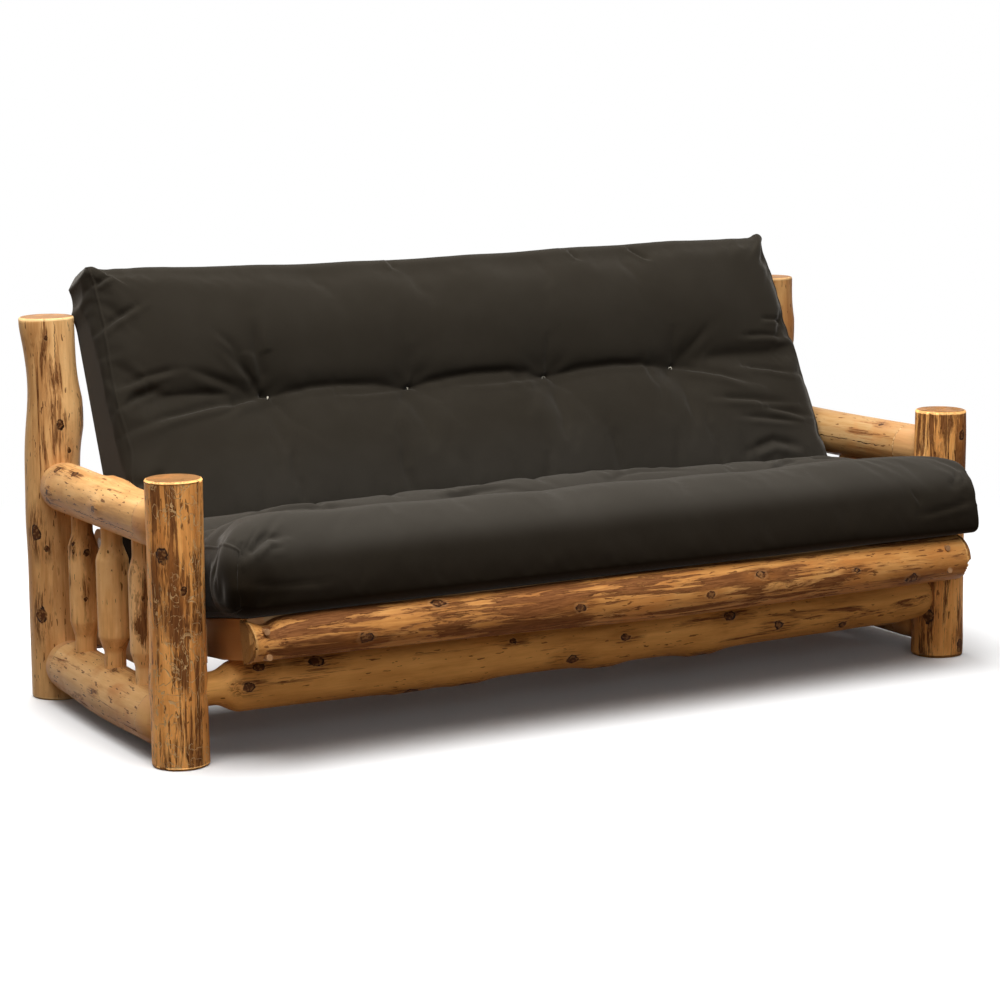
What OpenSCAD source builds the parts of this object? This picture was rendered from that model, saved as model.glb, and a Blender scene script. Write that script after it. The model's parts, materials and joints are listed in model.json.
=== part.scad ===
// Log futon: a peeled-log sofa frame whose slatted seat and back fold flat into a bed.
// X runs along the sofa, Y runs from front to back, Z is up. It is drawn as a sofa.

/* [Posts] */
// Distance between the left and right arms, centre line to centre line
arm_spacing = 2052; // [2040:2:2120]
// Distance from the front posts to the rear posts, centre line to centre line
arm_depth = 741; // [725:1:790]
// Diameter of the front posts
front_post_d = 126; // [112:1:132]
// Height of the front posts
front_post_h = 621; // [600:1:720]
// Diameter of the rear posts
rear_post_d = 136; // [118:1:140]
// Height of the rear posts
rear_post_h = 904; // [760:1:1000]
// Chamfer on the sawn ends of the posts
post_chamfer = 6; // [2:1:12]

/* [Arms] */
// Diameter of the upper arm rails
upper_rail_d = 116; // [100:1:122]
// Height of the upper arm rails' centre line
upper_rail_z = 513; // [490:1:530]
// Diameter of the lower arm rails
lower_rail_d = 124; // [104:1:126]
// Height of the lower arm rails' centre line
lower_rail_z = 84; // [70:1:90]
// Length of the rounded taper at each end of an arm rail
rail_taper = 52; // [30:1:80]
// Diameter of an arm rail where its taper meets a post
rail_end_d = 86; // [76:1:96]
// Spindles in each arm
spindle_count = 3; // [3:1:3]
// Diameter of the spindles' bodies
spindle_d = 74; // [60:1:80]
// Diameter of the spindles' necks and tenons
spindle_neck_d = 50; // [36:1:54]
// Length of a spindle's body without its shoulders
spindle_body = 176; // [120:1:200]
// Length of each sloped shoulder of a spindle
spindle_shoulder = 34; // [15:1:45]

/* [Tenons] */
// Diameter of the tenons on the rails and stretchers
tenon_d = 64; // [40:1:72]
// How deep a tenon reaches into a post, from the post's surface
tenon_depth = 55; // [35:1:60]
// How deep a spindle's tenon reaches into a rail, from the rail's surface
spindle_tenon = 38; // [20:1:42]
// Radial gap between a tenon and its mortise
tenon_gap = 0.2; // [0:0.1:0.5]

/* [Stretchers] */
// Diameter of the two long stretcher logs
stretcher_d = 116; // [100:1:120]
// Height of the stretchers' centre line
stretcher_z = 157.5; // [145:0.5:175]
// Length over which a stretcher narrows to its neck
stretcher_taper = 58; // [35:1:80]
// Diameter of the neck at each end of a stretcher
stretcher_neck_d = 74; // [66:1:90]
// Diameter of the hidden double-ended screw in each stretcher joint
joint_bolt_d = 10; // [8:1:12]
// Length of that screw
joint_bolt_length = 120; // [100:2:150]

/* [Folding] */
// How far the seat slides forward when the sofa becomes a bed
seat_travel = 380; // [360:2:400]
// Slope of the seat on the sofa, down to the rear
seat_tilt = 10; // [9:0.5:11]
// Slope of the back on the sofa, above level
back_slope = 66.4; // [62:0.2:70]
// Distance of the fold behind the front posts when the bed is flat
fold_y = 100; // [90:1:115]
// Distance of the back's guide pins from the fold bolts
pin_offset = 230; // [210:1:250]
// Height of the mattress's own fold above the fold bolts
mattress_fold_z = 104.8; // [100:0.2:112]

/* [Decks] */
// Gap between the seat's side rails and the guide panels
deck_gap = 39; // [30:1:60]
// Thickness of the planed rails
board_t = 38; // [32:1:40]
// Height of the planed rails
board_h = 89; // [84:1:94]
// How far the mattress reaches past the seat frame's front
front_overhang = 69.5; // [62:0.5:80]
// How far the mattress reaches past the back frame's top
top_overhang = 120.5; // [100:0.5:140]
// Length of the side rails past the fold bolts
rail_heel = 45; // [40:1:48]
// Distance of the seat's rear rail from the fold bolts
seat_rear_gap = 64; // [64:1:72]
// Distance of the back's bottom rail from the fold bolts
back_bottom_gap = 24; // [22:1:30]
// Distance of the two cross rails from the middle of each deck
cross_rail_x = 300; // [200:5:400]
// Thickness of the slats
slat_t = 19; // [15:1:22]
// Width of the slats
slat_w = 92; // [70:1:96]
// Slats in the seat
seat_slats = 4; // [4:1:4]
// Slats in the back
back_slats = 5; // [5:1:5]
// Side of the square cleats under the slats' ends
cleat = 24; // [18:1:30]
// Running gap between the side rails of the seat and of the back
rail_gap = 2; // [2:0.5:3]

/* [Front half log] */
// How far the half log on the seat's front edge reaches past the left side rail
half_log_overhang = 12; // [0:1:20]
// How much further it reaches past the right side rail
half_log_extra = 30; // [0:1:40]
// Height of its flat rear face
half_log_h = 112; // [100:1:118]
// Thickness from the flat face to the front
half_log_t = 60; // [50:1:60]
// How far its top lies below the top of the rail behind it
half_log_drop = 0; // [0:0.5:8]
// Distance between the two screws at each end
half_log_screw_pitch = 54; // [40:1:60]
// Diameter of the wooden plugs over those screws
plug_d = 14; // [11:1:16]

/* [Guides] */
// Thickness of the guide panels inside the arms
panel_t = 18; // [15:1:20]
// Distance from an arm's centre line to the outer face of its panel
panel_inset = 46; // [44:1:46]
// Height of the panels' lower edge
panel_z = 142; // [138:1:146]
// Height of the panels, without the ear
panel_h = 158; // [152:1:165]
// How far a panel laps past the centre line of each post
panel_lap = 5; // [0:1:20]
// Wood left around each slot
slot_wall = 20; // [16:1:24]
// Diameter of the nylon glides that run in the slots
glide_d = 26; // [20:1:28]
// Diameter of the fold bolts and of the guide pins
bolt_d = 12; // [10:1:14]
// Wall of the spacer tubes on them
spacer_wall = 6; // [3:0.5:6]

/* [Mattress] */
// Width of the mattress, along the sofa
mattress_w = 1905; // [1860:5:1910]
// Length of the mattress laid flat, along its fold's height
mattress_l = 1372; // [1360:1:1380]
// How much of that length lies on the seat
mattress_seat_l = 614; // [600:1:620]
// Thickness of the mattress at the fold and at the front roll
mattress_t = 200; // [170:2:210]
// Thickness at the top of the back
mattress_top_t = 132; // [110:2:160]
// Distance between neighbouring tufts
tuft_pitch = 381; // [360:1:385]
// Distance of a row of tufts from the end of the mattress
tuft_row = 343; // [320:1:360]
// Depth of the dimple at a tuft
tuft_depth = 26; // [10:1:35]
// How much the long sides are drawn in between the corners
mattress_draw = 9; // [0:1:14]

/* [Clearances] */
// Gap that a moving wooden piece keeps from what carries it
run_gap = 0.3; // [0.2:0.1:0.6]
// Radial gap of a fold bolt in the back's side rail
pivot_gap = 0.05; // [0.02:0.01:0.1]
// Radial gap of a bolt or screw in a piece that it only fastens
screw_gap = 0.1; // [0.05:0.05:0.2]
// Gap of a glide in its slot, each side
slot_gap = 0.5; // [0.3:0.1:0.8]

/* [Hidden] */

$fn = 72;
left = -1;
right = 1;

// Colours of the peeled cedar, the planed boards, the plastic, the steel and the cover
log_light = [0.80, 0.62, 0.38];
log_dark = [0.70, 0.48, 0.26];
board_tone = [0.78, 0.60, 0.38];
nylon_tone = [0.90, 0.89, 0.84];
steel_tone = [0.62, 0.63, 0.65];
cover_tone = [0.09, 0.085, 0.08];

arm_x = arm_spacing / 2;
front_r = front_post_d / 2;
rear_r = rear_post_d / 2;
upper_r = upper_rail_d / 2;
lower_r = lower_rail_d / 2;
stretcher_r = stretcher_d / 2;
mortise_r = tenon_d / 2 + tenon_gap;
// Share of a post's radius at which the log that is coped to it starts
cope_start = 0.7;

// The seat slides on the front stretcher as a rocker of this radius, about a far pole
track_r = seat_travel * 180 / (PI * seat_tilt);
pole_reach = track_r - run_gap - stretcher_r;
pole_back = pole_reach * sin(seat_tilt / 2);
pole_z = stretcher_z - pole_reach * cos(seat_tilt / 2);
fold_angle = back_slope + seat_tilt;
deck_half_h = board_h / 2;
bed_fold_z = pole_z + track_r * cos(seat_tilt / 2) + deck_half_h;
rear_stretcher_z = bed_fold_z - deck_half_h - run_gap - stretcher_r;
mattress_z = deck_half_h + run_gap;
mattress_fold_y = -mattress_fold_z * tan(fold_angle / 2);
seat_far = mattress_seat_l - mattress_fold_y;
back_far = mattress_l - mattress_seat_l - mattress_fold_y;

// The half log is a segment of a round log whose middle lies in front of the seat
half_chord = half_log_h / 2;
half_log_r = (half_chord * half_chord + half_log_t * half_log_t) / (2 * half_log_t);
half_log_mid = deck_half_h - half_log_drop - half_chord;
seat_front = front_overhang - seat_far;
seat_rear = -seat_rear_gap;
back_length = back_far - top_overhang;

// The origin is under the middle of the whole sofa, from the half log to the rear posts
function turned(p, a) = [p.x * cos(a) - p.y * sin(a), p.x * sin(a) + p.y * cos(a)];
sofa_fold = [-pole_back, pole_z] + turned([fold_y + pole_back, bed_fold_z - pole_z], -seat_tilt);
half_log_middle = turned([seat_front - half_log_t + half_log_r, half_log_mid], -seat_tilt);
front_reach = half_log_r - half_log_middle.x - sofa_fold.x;
rear_reach = arm_depth + rear_r;
front_y = (front_reach - rear_reach) / 2;
rear_y = front_y + arm_depth;
pole_y = front_y - pole_back;
bed_fold_y = front_y + fold_y;

// The fold bolt and the guide pin at a share of the fold: 0 is the bed and 1 is the sofa
function fold_at(s) = [pole_y, pole_z]
    + turned([bed_fold_y - pole_y, bed_fold_z - pole_z], -seat_tilt * s);
function pin_at(s) = fold_at(s) + pin_offset * [cos(back_slope * s), sin(back_slope * s)];
slot_r = glide_d / 2 + slot_gap;
saddle_z = stretcher_z + stretcher_r;
slot_steps = 28;

// Places across the decks
panel_x = arm_x - panel_inset - panel_t;
deck_half_w = panel_x - deck_gap;
seat_rail_x = deck_half_w - board_t;
back_rail_x = seat_rail_x - rail_gap - board_t;
half_log_x = deck_half_w + half_log_overhang;
half_log_right = half_log_x + half_log_extra;
half_log_screw_x = deck_half_w - board_t / 2;
panel_gap = 1;
glide_t = panel_t - 2 * panel_gap;
glide_x = panel_x + panel_gap;

// Sizes of the fasteners
screw_r = 2.5;
screw_head_r = 5;
screw_length = 88;
frame_screw_z = 24;
panel_screw_length = 50;
panel_screw_edge = 19;
slat_screw_length = 45;
half_log_screw_length = 60;
half_log_screw_depth = 30;
bolt_r = bolt_d / 2;
bolt_head_r = 9;
bolt_head_t = 5;
nut_r = 10;
nut_t = 9;
washer_r = 13;
washer_t = 1.7;
plug_proud = 2;

// Moves to the seat and to the back, whose own origins are on the fold bolts, lying flat
module in_seat() {
    translate([0, pole_y, pole_z])
        rotate([-seat_tilt, 0, 0])
            translate([0, bed_fold_y - pole_y, bed_fold_z - pole_z])
                children();
}

module in_back() {
    in_seat()
        rotate([fold_angle, 0, 0])
            children();
}

module both_sides() {
    children();
    mirror([1, 0, 0])
        children();
}

// Turns an upright shape to lie along X or along Y
module along_x() {
    rotate([0, 90, 0])
        children();
}

module along_y() {
    rotate([-90, 0, 0])
        children();
}

// An outline in the Y-Z plane, given a thickness along X
module side_plate(thickness) {
    rotate([90, 0, 90])
        linear_extrude(thickness)
            children();
}

// A box from one corner to another
module block(low, high) {
    translate(low)
        cube(high - low);
}

// A round log's outline from its axis outwards: tenon, rounded or hollowed taper, body, and back
taper_steps = 6;
function round_taper(t) = sqrt(1 - pow(1 - t, 2));
function hollow_taper(t) = (1 - cos(180 * t)) / 2;
function taper_points(z, length, from_r, to_r, hollow) = [
    for (i = [0 : taper_steps])
        let (t = i / taper_steps, share = hollow ? hollow_taper(t) : round_taper(t))
            [from_r + (to_r - from_r) * share, z + length * t]];
function tail_points(z, length, from_r, to_r, hollow) = [
    for (i = [0 : taper_steps])
        let (t = 1 - i / taper_steps, share = hollow ? hollow_taper(t) : round_taper(t))
            [to_r + (from_r - to_r) * share, z - length * t]];

// A log between two posts: its ends are coped to the posts and carry tenons
module coped_log(length, r, neck_r, taper, first_post_r, last_post_r, hollow_first, hollow_last) {
    first_tip = first_post_r - tenon_depth;
    last_tip = length - last_post_r + tenon_depth;
    first_end = first_post_r * cope_start;
    last_end = length - last_post_r * cope_start;
    difference() {
        rotate_extrude()
            polygon(concat([[0, first_end]],
                taper_points(first_end, taper, neck_r, r, hollow_first),
                tail_points(last_end, taper, r, neck_r, hollow_last),
                [[0, last_end]]));
        along_x()
            cylinder(r = first_post_r, h = 4 * r, center = true);
        translate([0, 0, length])
            along_x()
                cylinder(r = last_post_r, h = 4 * r, center = true);
    }
    translate([0, 0, first_tip])
        cylinder(d = tenon_d, h = first_post_r - first_tip);
    translate([0, 0, length - last_post_r])
        cylinder(d = tenon_d, h = last_tip - (length - last_post_r));
}

// Posts
module post(r, h) {
    rotate_extrude()
        polygon([[0, 0], [r - post_chamfer, 0], [r, post_chamfer], [r, h - post_chamfer],
            [r - post_chamfer, h], [0, h]]);
}

// The mortises of one post: two rails to one side of it along Y, and one stretcher along X
module post_cuts(r, rail_way, stretcher_height, y) {
    for (z = [upper_rail_z, lower_rail_z])
        translate([0, rail_way * (r - tenon_depth - 1), z])
            rotate([-90 * rail_way, 0, 0])
                cylinder(r = mortise_r, h = 2 * r);
    translate([-(r - tenon_depth - 1), 0, stretcher_height])
        rotate([0, -90, 0])
            cylinder(r = mortise_r, h = 2 * r);
    translate([-arm_x, -y, 0])
        both_sides()
            stretcher_screw_at(y, stretcher_height, screw_gap);
    translate([-arm_x, -y, 0]) {
        block([panel_x - 1, front_y - panel_lap - screw_gap, panel_z - screw_gap],
            [arm_x - panel_inset, rear_y + panel_lap + screw_gap, panel_z + panel_h + screw_gap]);
        panel_screw_set(screw_gap);
    }
}

module front_post(side) {
    color(log_dark)
        scale([side, 1, 1])
            translate([arm_x, front_y, 0])
                difference() {
                    post(front_r, front_post_h);
                    post_cuts(front_r, 1, stretcher_z, front_y);
                }
}

module rear_post(side) {
    color(log_light)
        scale([side, 1, 1])
            translate([arm_x, rear_y, 0])
                difference() {
                    post(rear_r, rear_post_h);
                    post_cuts(rear_r, -1, rear_stretcher_z, rear_y);
                }
}

// Arms
spindle_pitch = arm_depth / (spindle_count + 1);
spindle_foot = lower_rail_z + lower_r - spindle_tenon;
spindle_top = upper_rail_z - upper_r + spindle_tenon;
spindle_mid = (lower_rail_z + lower_r + upper_rail_z - upper_r) / 2;

module arm_rail(side, z, r) {
    color(log_light)
        difference() {
            translate([side * arm_x, front_y, z])
                along_y()
                    rotate([0, 0, 90])
                        coped_log(arm_depth, r, rail_end_d / 2, rail_taper, front_r, rear_r, false, false);
            for (i = [1 : spindle_count])
                translate([side * arm_x, front_y + i * spindle_pitch, spindle_foot - tenon_gap])
                    cylinder(d = spindle_neck_d + 2 * tenon_gap,
                        h = spindle_top - spindle_foot + 2 * tenon_gap);
        }
}

module spindle(side, i) {
    body_r = spindle_d / 2;
    neck_r = spindle_neck_d / 2;
    low = spindle_mid - spindle_body / 2;
    high = spindle_mid + spindle_body / 2;
    color(log_light)
        translate([side * arm_x, front_y + i * spindle_pitch, 0])
            rotate_extrude()
                polygon([[0, spindle_foot], [neck_r, spindle_foot], [neck_r, low - spindle_shoulder],
                    [body_r, low], [body_r, high], [neck_r, high + spindle_shoulder],
                    [neck_r, spindle_top], [0, spindle_top]]);
}

// Stretchers
module stretcher_screw_at(y, z, gap) {
    translate([arm_x - joint_bolt_length + tenon_depth / 2 - gap, y, z])
        along_x()
            cylinder(r = joint_bolt_d / 2 + gap, h = joint_bolt_length + 2 * gap, $fn = 32);
}

module stretcher(y, z, post_r, hollow_left) {
    color(log_dark)
        difference() {
            translate([-arm_x, y, z])
                along_x()
                    coped_log(arm_spacing, stretcher_r, stretcher_neck_d / 2, stretcher_taper,
                        post_r, post_r, hollow_left, false);
            both_sides()
                stretcher_screw_at(y, z, screw_gap);
        }
}

module stretcher_joint_screws() {
    color(steel_tone)
        both_sides() {
            stretcher_screw_at(front_y, stretcher_z, 0);
            stretcher_screw_at(rear_y, rear_stretcher_z, 0);
        }
}

// Guide panels, each with an arc slot for the seat and a curved slot for the back
module round_through(p, r, x, thickness, steps = 72) {
    translate([x, p.x, p.y])
        along_x()
            cylinder(r = r, h = thickness, $fn = steps);
}

module arc_slot(x, thickness) {
    pole = [pole_y, pole_z];
    reach = norm(fold_at(0) - pole);
    far = 1.02;
    intersection() {
        difference() {
            round_through(pole, reach + slot_r, x, thickness, 1440);
            round_through(pole, reach - slot_r, x - 1, thickness + 2, 1440);
        }
        translate([x, 0, 0])
            side_plate(thickness)
                polygon([pole, pole + (fold_at(0) - pole) * far, pole + (fold_at(1) - pole) * far]);
    }
    for (s = [0, 1])
        round_through(fold_at(s), slot_r, x, thickness);
}

// Points beside the guide pin's path, at a distance from it
function pin_way(s) = let (step = 0.5 / slot_steps, d = pin_at(s + step) - pin_at(s - step)) d / norm(d);
function beside_pin(s, away) = pin_at(s) + away * [-pin_way(s).y, pin_way(s).x];
function band(away) = concat(
    [for (i = [0 : slot_steps]) beside_pin(i / slot_steps, away)],
    [for (i = [slot_steps : -1 : 0]) beside_pin(i / slot_steps, -away)]);

module pin_band(away, x, thickness) {
    translate([x, 0, 0])
        side_plate(thickness)
            polygon(band(away));
    for (s = [0, 1])
        round_through(pin_at(s), away, x, thickness);
}

module panel_screw_set(gap) {
    for (y = [front_y, rear_y], z = [saddle_z + panel_screw_edge, panel_z + panel_h - panel_screw_edge])
        translate([panel_x, y, z])
            along_x()
                wood_screw(panel_screw_length, gap);
}

module guide_panel(side) {
    color(board_tone)
        scale([side, 1, 1])
            difference() {
                union() {
                    block([panel_x, front_y - panel_lap, panel_z],
                        [panel_x + panel_t, rear_y + panel_lap, panel_z + panel_h]);
                    pin_band(slot_r + slot_wall, panel_x, panel_t);
                }
                for (seat = [[front_y, stretcher_z], [rear_y, rear_stretcher_z]])
                    round_through(seat, stretcher_r + run_gap, panel_x - 1, panel_t + 2);
                arc_slot(panel_x - 1, panel_t + 2);
                pin_band(slot_r, panel_x - 1, panel_t + 2);
                panel_screw_set(screw_gap);
            }
}

module guide_panel_screws() {
    color(steel_tone)
        both_sides()
            panel_screw_set(0);
}

// A countersunk wood screw, its head at the origin and its point along +Z
module wood_screw(length, gap = 0) {
    head = screw_head_r - screw_r;
    rotate_extrude($fn = 24)
        polygon([[0, -gap], [screw_head_r + gap, -gap], [screw_head_r + gap, 0], [screw_r + gap, head],
            [screw_r + gap, length - head], [0, length + gap]]);
}

// Seat deck, drawn flat with its origin on the fold bolts
cross_top = deck_half_h - slat_t;

module track_cut() {
    translate([0, pole_y - bed_fold_y, pole_z - bed_fold_z])
        along_x()
            cylinder(r = track_r, h = 2 * arm_spacing, center = true, $fn = 1440);
}

module seat_side_rail(side) {
    color(board_tone)
        in_seat()
            scale([side, 1, 1])
                difference() {
                    union() {
                        block([seat_rail_x, seat_front, -deck_half_h], [deck_half_w, 0, deck_half_h]);
                        heel(seat_rail_x, 1);
                    }
                    track_cut();
                    bolt_bore(0, bolt_r + screw_gap);
                    frame_screw_set(seat_ends(), deck_half_w, screw_gap);
                    screws_under_half_log();
                }
}

// The rounded end of a side rail past the fold bolts
module heel(x, way) {
    intersection() {
        block([x, -deck_half_h, -deck_half_h],
            [x + board_t, deck_half_h + rail_heel, deck_half_h]);
        translate([x, way * (rail_heel - deck_half_h), 0])
            along_x()
                cylinder(r = deck_half_h, h = board_t);
    }
    block([x, -deck_half_h, -deck_half_h], [x + board_t, max(0.5, rail_heel - deck_half_h), deck_half_h]);
}

module bolt_bore(y, r) {
    translate([back_rail_x - board_t, y, 0])
        along_x()
            cylinder(r = r, h = 4 * board_t);
}

// Middles of the long rails, which the side rails are screwed to
function seat_ends() = [seat_front + board_t / 2, seat_rear - board_t / 2];
function back_ends() = [back_bottom_gap + board_t / 2, back_length - board_t / 2];

module frame_screw_set(places, x, gap) {
    for (y = places, z = [-frame_screw_z, frame_screw_z])
        translate([x, y, z])
            rotate([0, -90, 0])
                wood_screw(screw_length, gap);
}

module long_rail(y, half_length, bottom) {
    block([-half_length, y, bottom], [half_length, y + board_t, deck_half_h]);
}

module seat_front_rail() {
    color(board_tone)
        in_seat()
            difference() {
                long_rail(seat_front, seat_rail_x, -deck_half_h);
                both_sides()
                    frame_screw_set(seat_ends(), deck_half_w, screw_gap);
                screws_under_half_log();
            }
}

module seat_rear_rail() {
    color(board_tone)
        in_seat()
            difference() {
                long_rail(seat_rear - board_t, seat_rail_x, -deck_half_h);
                track_cut();
                both_sides()
                    frame_screw_set(seat_ends(), deck_half_w, screw_gap);
            }
}

module cross_rail(x, low, high) {
    block([x - board_t / 2, low, -deck_half_h], [x + board_t / 2, high, cross_top]);
}

module seat_cross_rail(side) {
    color(board_tone)
        in_seat()
            difference() {
                cross_rail(side * cross_rail_x, seat_front + board_t, seat_rear - board_t);
                track_cut();
                slat_screw_set(seat_slat_rows(), screw_gap);
            }
}

module cleats(low, high, half_width) {
    both_sides()
        block([half_width - cleat, low, cross_top - cleat], [half_width, high, cross_top]);
}

module seat_cleats() {
    color(board_tone)
        in_seat()
            difference() {
                cleats(seat_front + board_t, seat_rear - board_t, seat_rail_x);
                slat_screw_set(seat_slat_rows(), screw_gap);
            }
}

// Middles of the slats, spread evenly between the long rails
function rows(low, high, count) = [
    for (i = [0 : count - 1]) low + (high - low) * (i + 0.5) / count];
function seat_slat_rows() = rows(seat_front + board_t, seat_rear - board_t, seat_slats);
function back_slat_rows() = rows(back_ends()[0] + board_t / 2, back_ends()[1] - board_t / 2, back_slats);

module slat_screw_set(places, gap) {
    for (y = places, x = [-cross_rail_x, cross_rail_x])
        translate([x, y, deck_half_h])
            rotate([180, 0, 0])
                wood_screw(slat_screw_length, gap);
}

// A slat with eased edges
module slat(y, half_width, places) {
    ease = 3;
    difference() {
        translate([-half_width + run_gap, 0, 0])
            side_plate(2 * (half_width - run_gap))
                polygon([[y - slat_w / 2, cross_top], [y + slat_w / 2, cross_top],
                    [y + slat_w / 2, deck_half_h - ease], [y + slat_w / 2 - ease, deck_half_h],
                    [y - slat_w / 2 + ease, deck_half_h], [y - slat_w / 2, deck_half_h - ease]]);
        slat_screw_set(places, screw_gap);
    }
}

module seat_slat(i) {
    color(board_tone)
        in_seat()
            slat(seat_slat_rows()[i - 1], seat_rail_x, seat_slat_rows());
}

module seat_frame_screws() {
    color(steel_tone)
        in_seat()
            both_sides()
                frame_screw_set(seat_ends(), deck_half_w, 0);
}

module seat_slat_screws() {
    color(steel_tone)
        in_seat()
            slat_screw_set(seat_slat_rows(), 0);
}

// Half log on the front edge
module half_log_screw_places() {
    both_sides()
        for (z = [-0.5, 0.5])
            translate([half_log_screw_x, seat_front, half_log_mid + z * half_log_screw_pitch])
                children();
}

module screws_under_half_log() {
    half_log_screw_places()
        translate([0, -half_log_screw_depth, 0])
            along_y()
                wood_screw(half_log_screw_length, screw_gap);
}

module front_half_log() {
    color(log_light)
        in_seat()
            difference() {
                translate([0, seat_front, half_log_mid])
                    intersection() {
                        translate([-half_log_x, half_log_r - half_log_t, 0])
                            along_x()
                                cylinder(r = half_log_r, h = half_log_x + half_log_right);
                        block([-half_log_x, -half_log_t, -half_chord], [half_log_right, 0, half_chord]);
                    }
                screws_under_half_log();
                half_log_screw_places()
                    translate([0, -half_log_screw_depth, 0])
                        rotate([90, 0, 0])
                            cylinder(d = plug_d, h = half_log_t);
            }
}

module half_log_screws() {
    color(steel_tone)
        in_seat()
            half_log_screw_places()
                translate([0, -half_log_screw_depth, 0])
                    along_y()
                        wood_screw(half_log_screw_length);
}

module half_log_plugs() {
    face = half_log_r - half_log_t - sqrt(pow(half_log_r, 2) - pow(half_log_screw_pitch / 2, 2));
    color(log_dark)
        in_seat()
            half_log_screw_places()
                translate([0, -half_log_screw_depth - run_gap, 0])
                    rotate([90, 0, 0])
                        cylinder(d = plug_d - 2 * screw_gap,
                            h = plug_proud - face - half_log_screw_depth - run_gap);
}

// Fold bolts, guide pins and what they carry, on the right; mirrored for the left
nut_x = back_rail_x - run_gap - washer_t - nut_t;

module headed_pin(x_from) {
    end = glide_x + glide_t;
    translate([x_from, 0, 0])
        along_x()
            cylinder(r = bolt_r, h = end - x_from);
    translate([end - bolt_head_t, 0, 0])
        along_x()
            cylinder(r = bolt_head_r, h = bolt_head_t);
}

module ring(x, length, outer_r) {
    translate([x, 0, 0])
        along_x()
            difference() {
                cylinder(r = outer_r, h = length);
                translate([0, 0, -1])
                    cylinder(r = bolt_r + screw_gap, h = length + 2);
            }
}

module glide() {
    difference() {
        ring(glide_x, glide_t, glide_d / 2);
        translate([glide_x + glide_t - bolt_head_t - screw_gap, 0, 0])
            along_x()
                cylinder(r = bolt_head_r + screw_gap, h = bolt_head_t + 1);
    }
}

module fold_bolts() {
    color(steel_tone)
        in_seat()
            both_sides()
                headed_pin(nut_x);
}

module fold_nuts() {
    color(steel_tone)
        in_seat()
            both_sides()
                translate([nut_x, 0, 0])
                    along_x()
                        difference() {
                            cylinder(r = nut_r, h = nut_t, $fn = 6);
                            translate([0, 0, -1])
                                cylinder(r = bolt_r + pivot_gap, h = nut_t + 2);
                        }
}

module fold_washers() {
    color(steel_tone)
        in_seat()
            both_sides() {
                ring(nut_x + nut_t, washer_t, washer_r);
                ring(seat_rail_x - rail_gap + run_gap, rail_gap - run_gap, washer_r);
            }
}

module fold_spacers() {
    color(steel_tone)
        in_seat()
            both_sides()
                ring(deck_half_w, glide_x - deck_half_w, bolt_r + spacer_wall);
}

module seat_glides() {
    color(nylon_tone)
        in_seat()
            both_sides()
                glide();
}

// Back deck, drawn flat with its origin on the fold bolts
module back_side_rail(side) {
    color(board_tone)
        in_back()
            scale([side, 1, 1])
                difference() {
                    union() {
                        block([back_rail_x, 0, -deck_half_h],
                            [back_rail_x + board_t, back_length, deck_half_h]);
                        mirror([0, 1, 0])
                            heel(back_rail_x, 1);
                    }
                    bolt_bore(0, bolt_r + pivot_gap);
                    bolt_bore(pin_offset, bolt_r + screw_gap);
                    frame_screw_set(back_ends(), back_rail_x + board_t, screw_gap);
                }
}

module back_bottom_rail() {
    color(board_tone)
        in_back()
            difference() {
                long_rail(back_bottom_gap, back_rail_x, -deck_half_h);
                both_sides()
                    frame_screw_set(back_ends(), back_rail_x + board_t, screw_gap);
            }
}

module back_top_rail() {
    color(board_tone)
        in_back()
            difference() {
                long_rail(back_length - board_t, back_rail_x, -deck_half_h);
                both_sides()
                    frame_screw_set(back_ends(), back_rail_x + board_t, screw_gap);
            }
}

module back_cross_rail(side) {
    color(board_tone)
        in_back()
            difference() {
                cross_rail(side * cross_rail_x, back_bottom_gap + board_t, back_length - board_t);
                slat_screw_set(back_slat_rows(), screw_gap);
            }
}

module back_cleats() {
    color(board_tone)
        in_back()
            cleats(back_bottom_gap + board_t, back_length - board_t, back_rail_x);
}

module back_slat(i) {
    color(board_tone)
        in_back()
            slat(back_slat_rows()[i - 1], back_rail_x, back_slat_rows());
}

module back_frame_screws() {
    color(steel_tone)
        in_back()
            both_sides()
                frame_screw_set(back_ends(), back_rail_x + board_t, 0);
}

module back_slat_screws() {
    color(steel_tone)
        in_back()
            slat_screw_set(back_slat_rows(), 0);
}

module guide_pins() {
    color(steel_tone)
        in_back()
            translate([0, pin_offset, 0])
                both_sides()
                    headed_pin(back_rail_x);
}

module pin_spacers() {
    color(steel_tone)
        in_back()
            translate([0, pin_offset, 0])
                both_sides()
                    ring(back_rail_x + board_t, glide_x - back_rail_x - board_t, bolt_r + spacer_wall);
}

module back_glides() {
    color(nylon_tone)
        in_back()
            translate([0, pin_offset, 0])
                both_sides()
                    glide();
}

// Mattress: each half is a row of closed outlines along X, joined into one skin.
// The halves meet on the plane that bisects the fold, and are cut square below the fold.
half_stations = 19;
stations = concat([-1, -0.985],
    [for (i = [-half_stations : half_stations]) i / (half_stations + 1)], [0.985, 1]);
top_steps = 12;
round_steps = 4;
fold_gap = run_gap;
side_round = 46;
waist_share = 0.55;
roll_share = 0.42;
tuft_width = 62;
tuft_height = 52;
crease_share = 0.45;
crease_height = 46;
seat_sag = 14;
seat_sag_length = 150;
back_crown = 12;
back_crown_rise = 170;
back_crown_length = 110;
end_fullness = 0.66;
end_squareness = 9;

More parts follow.
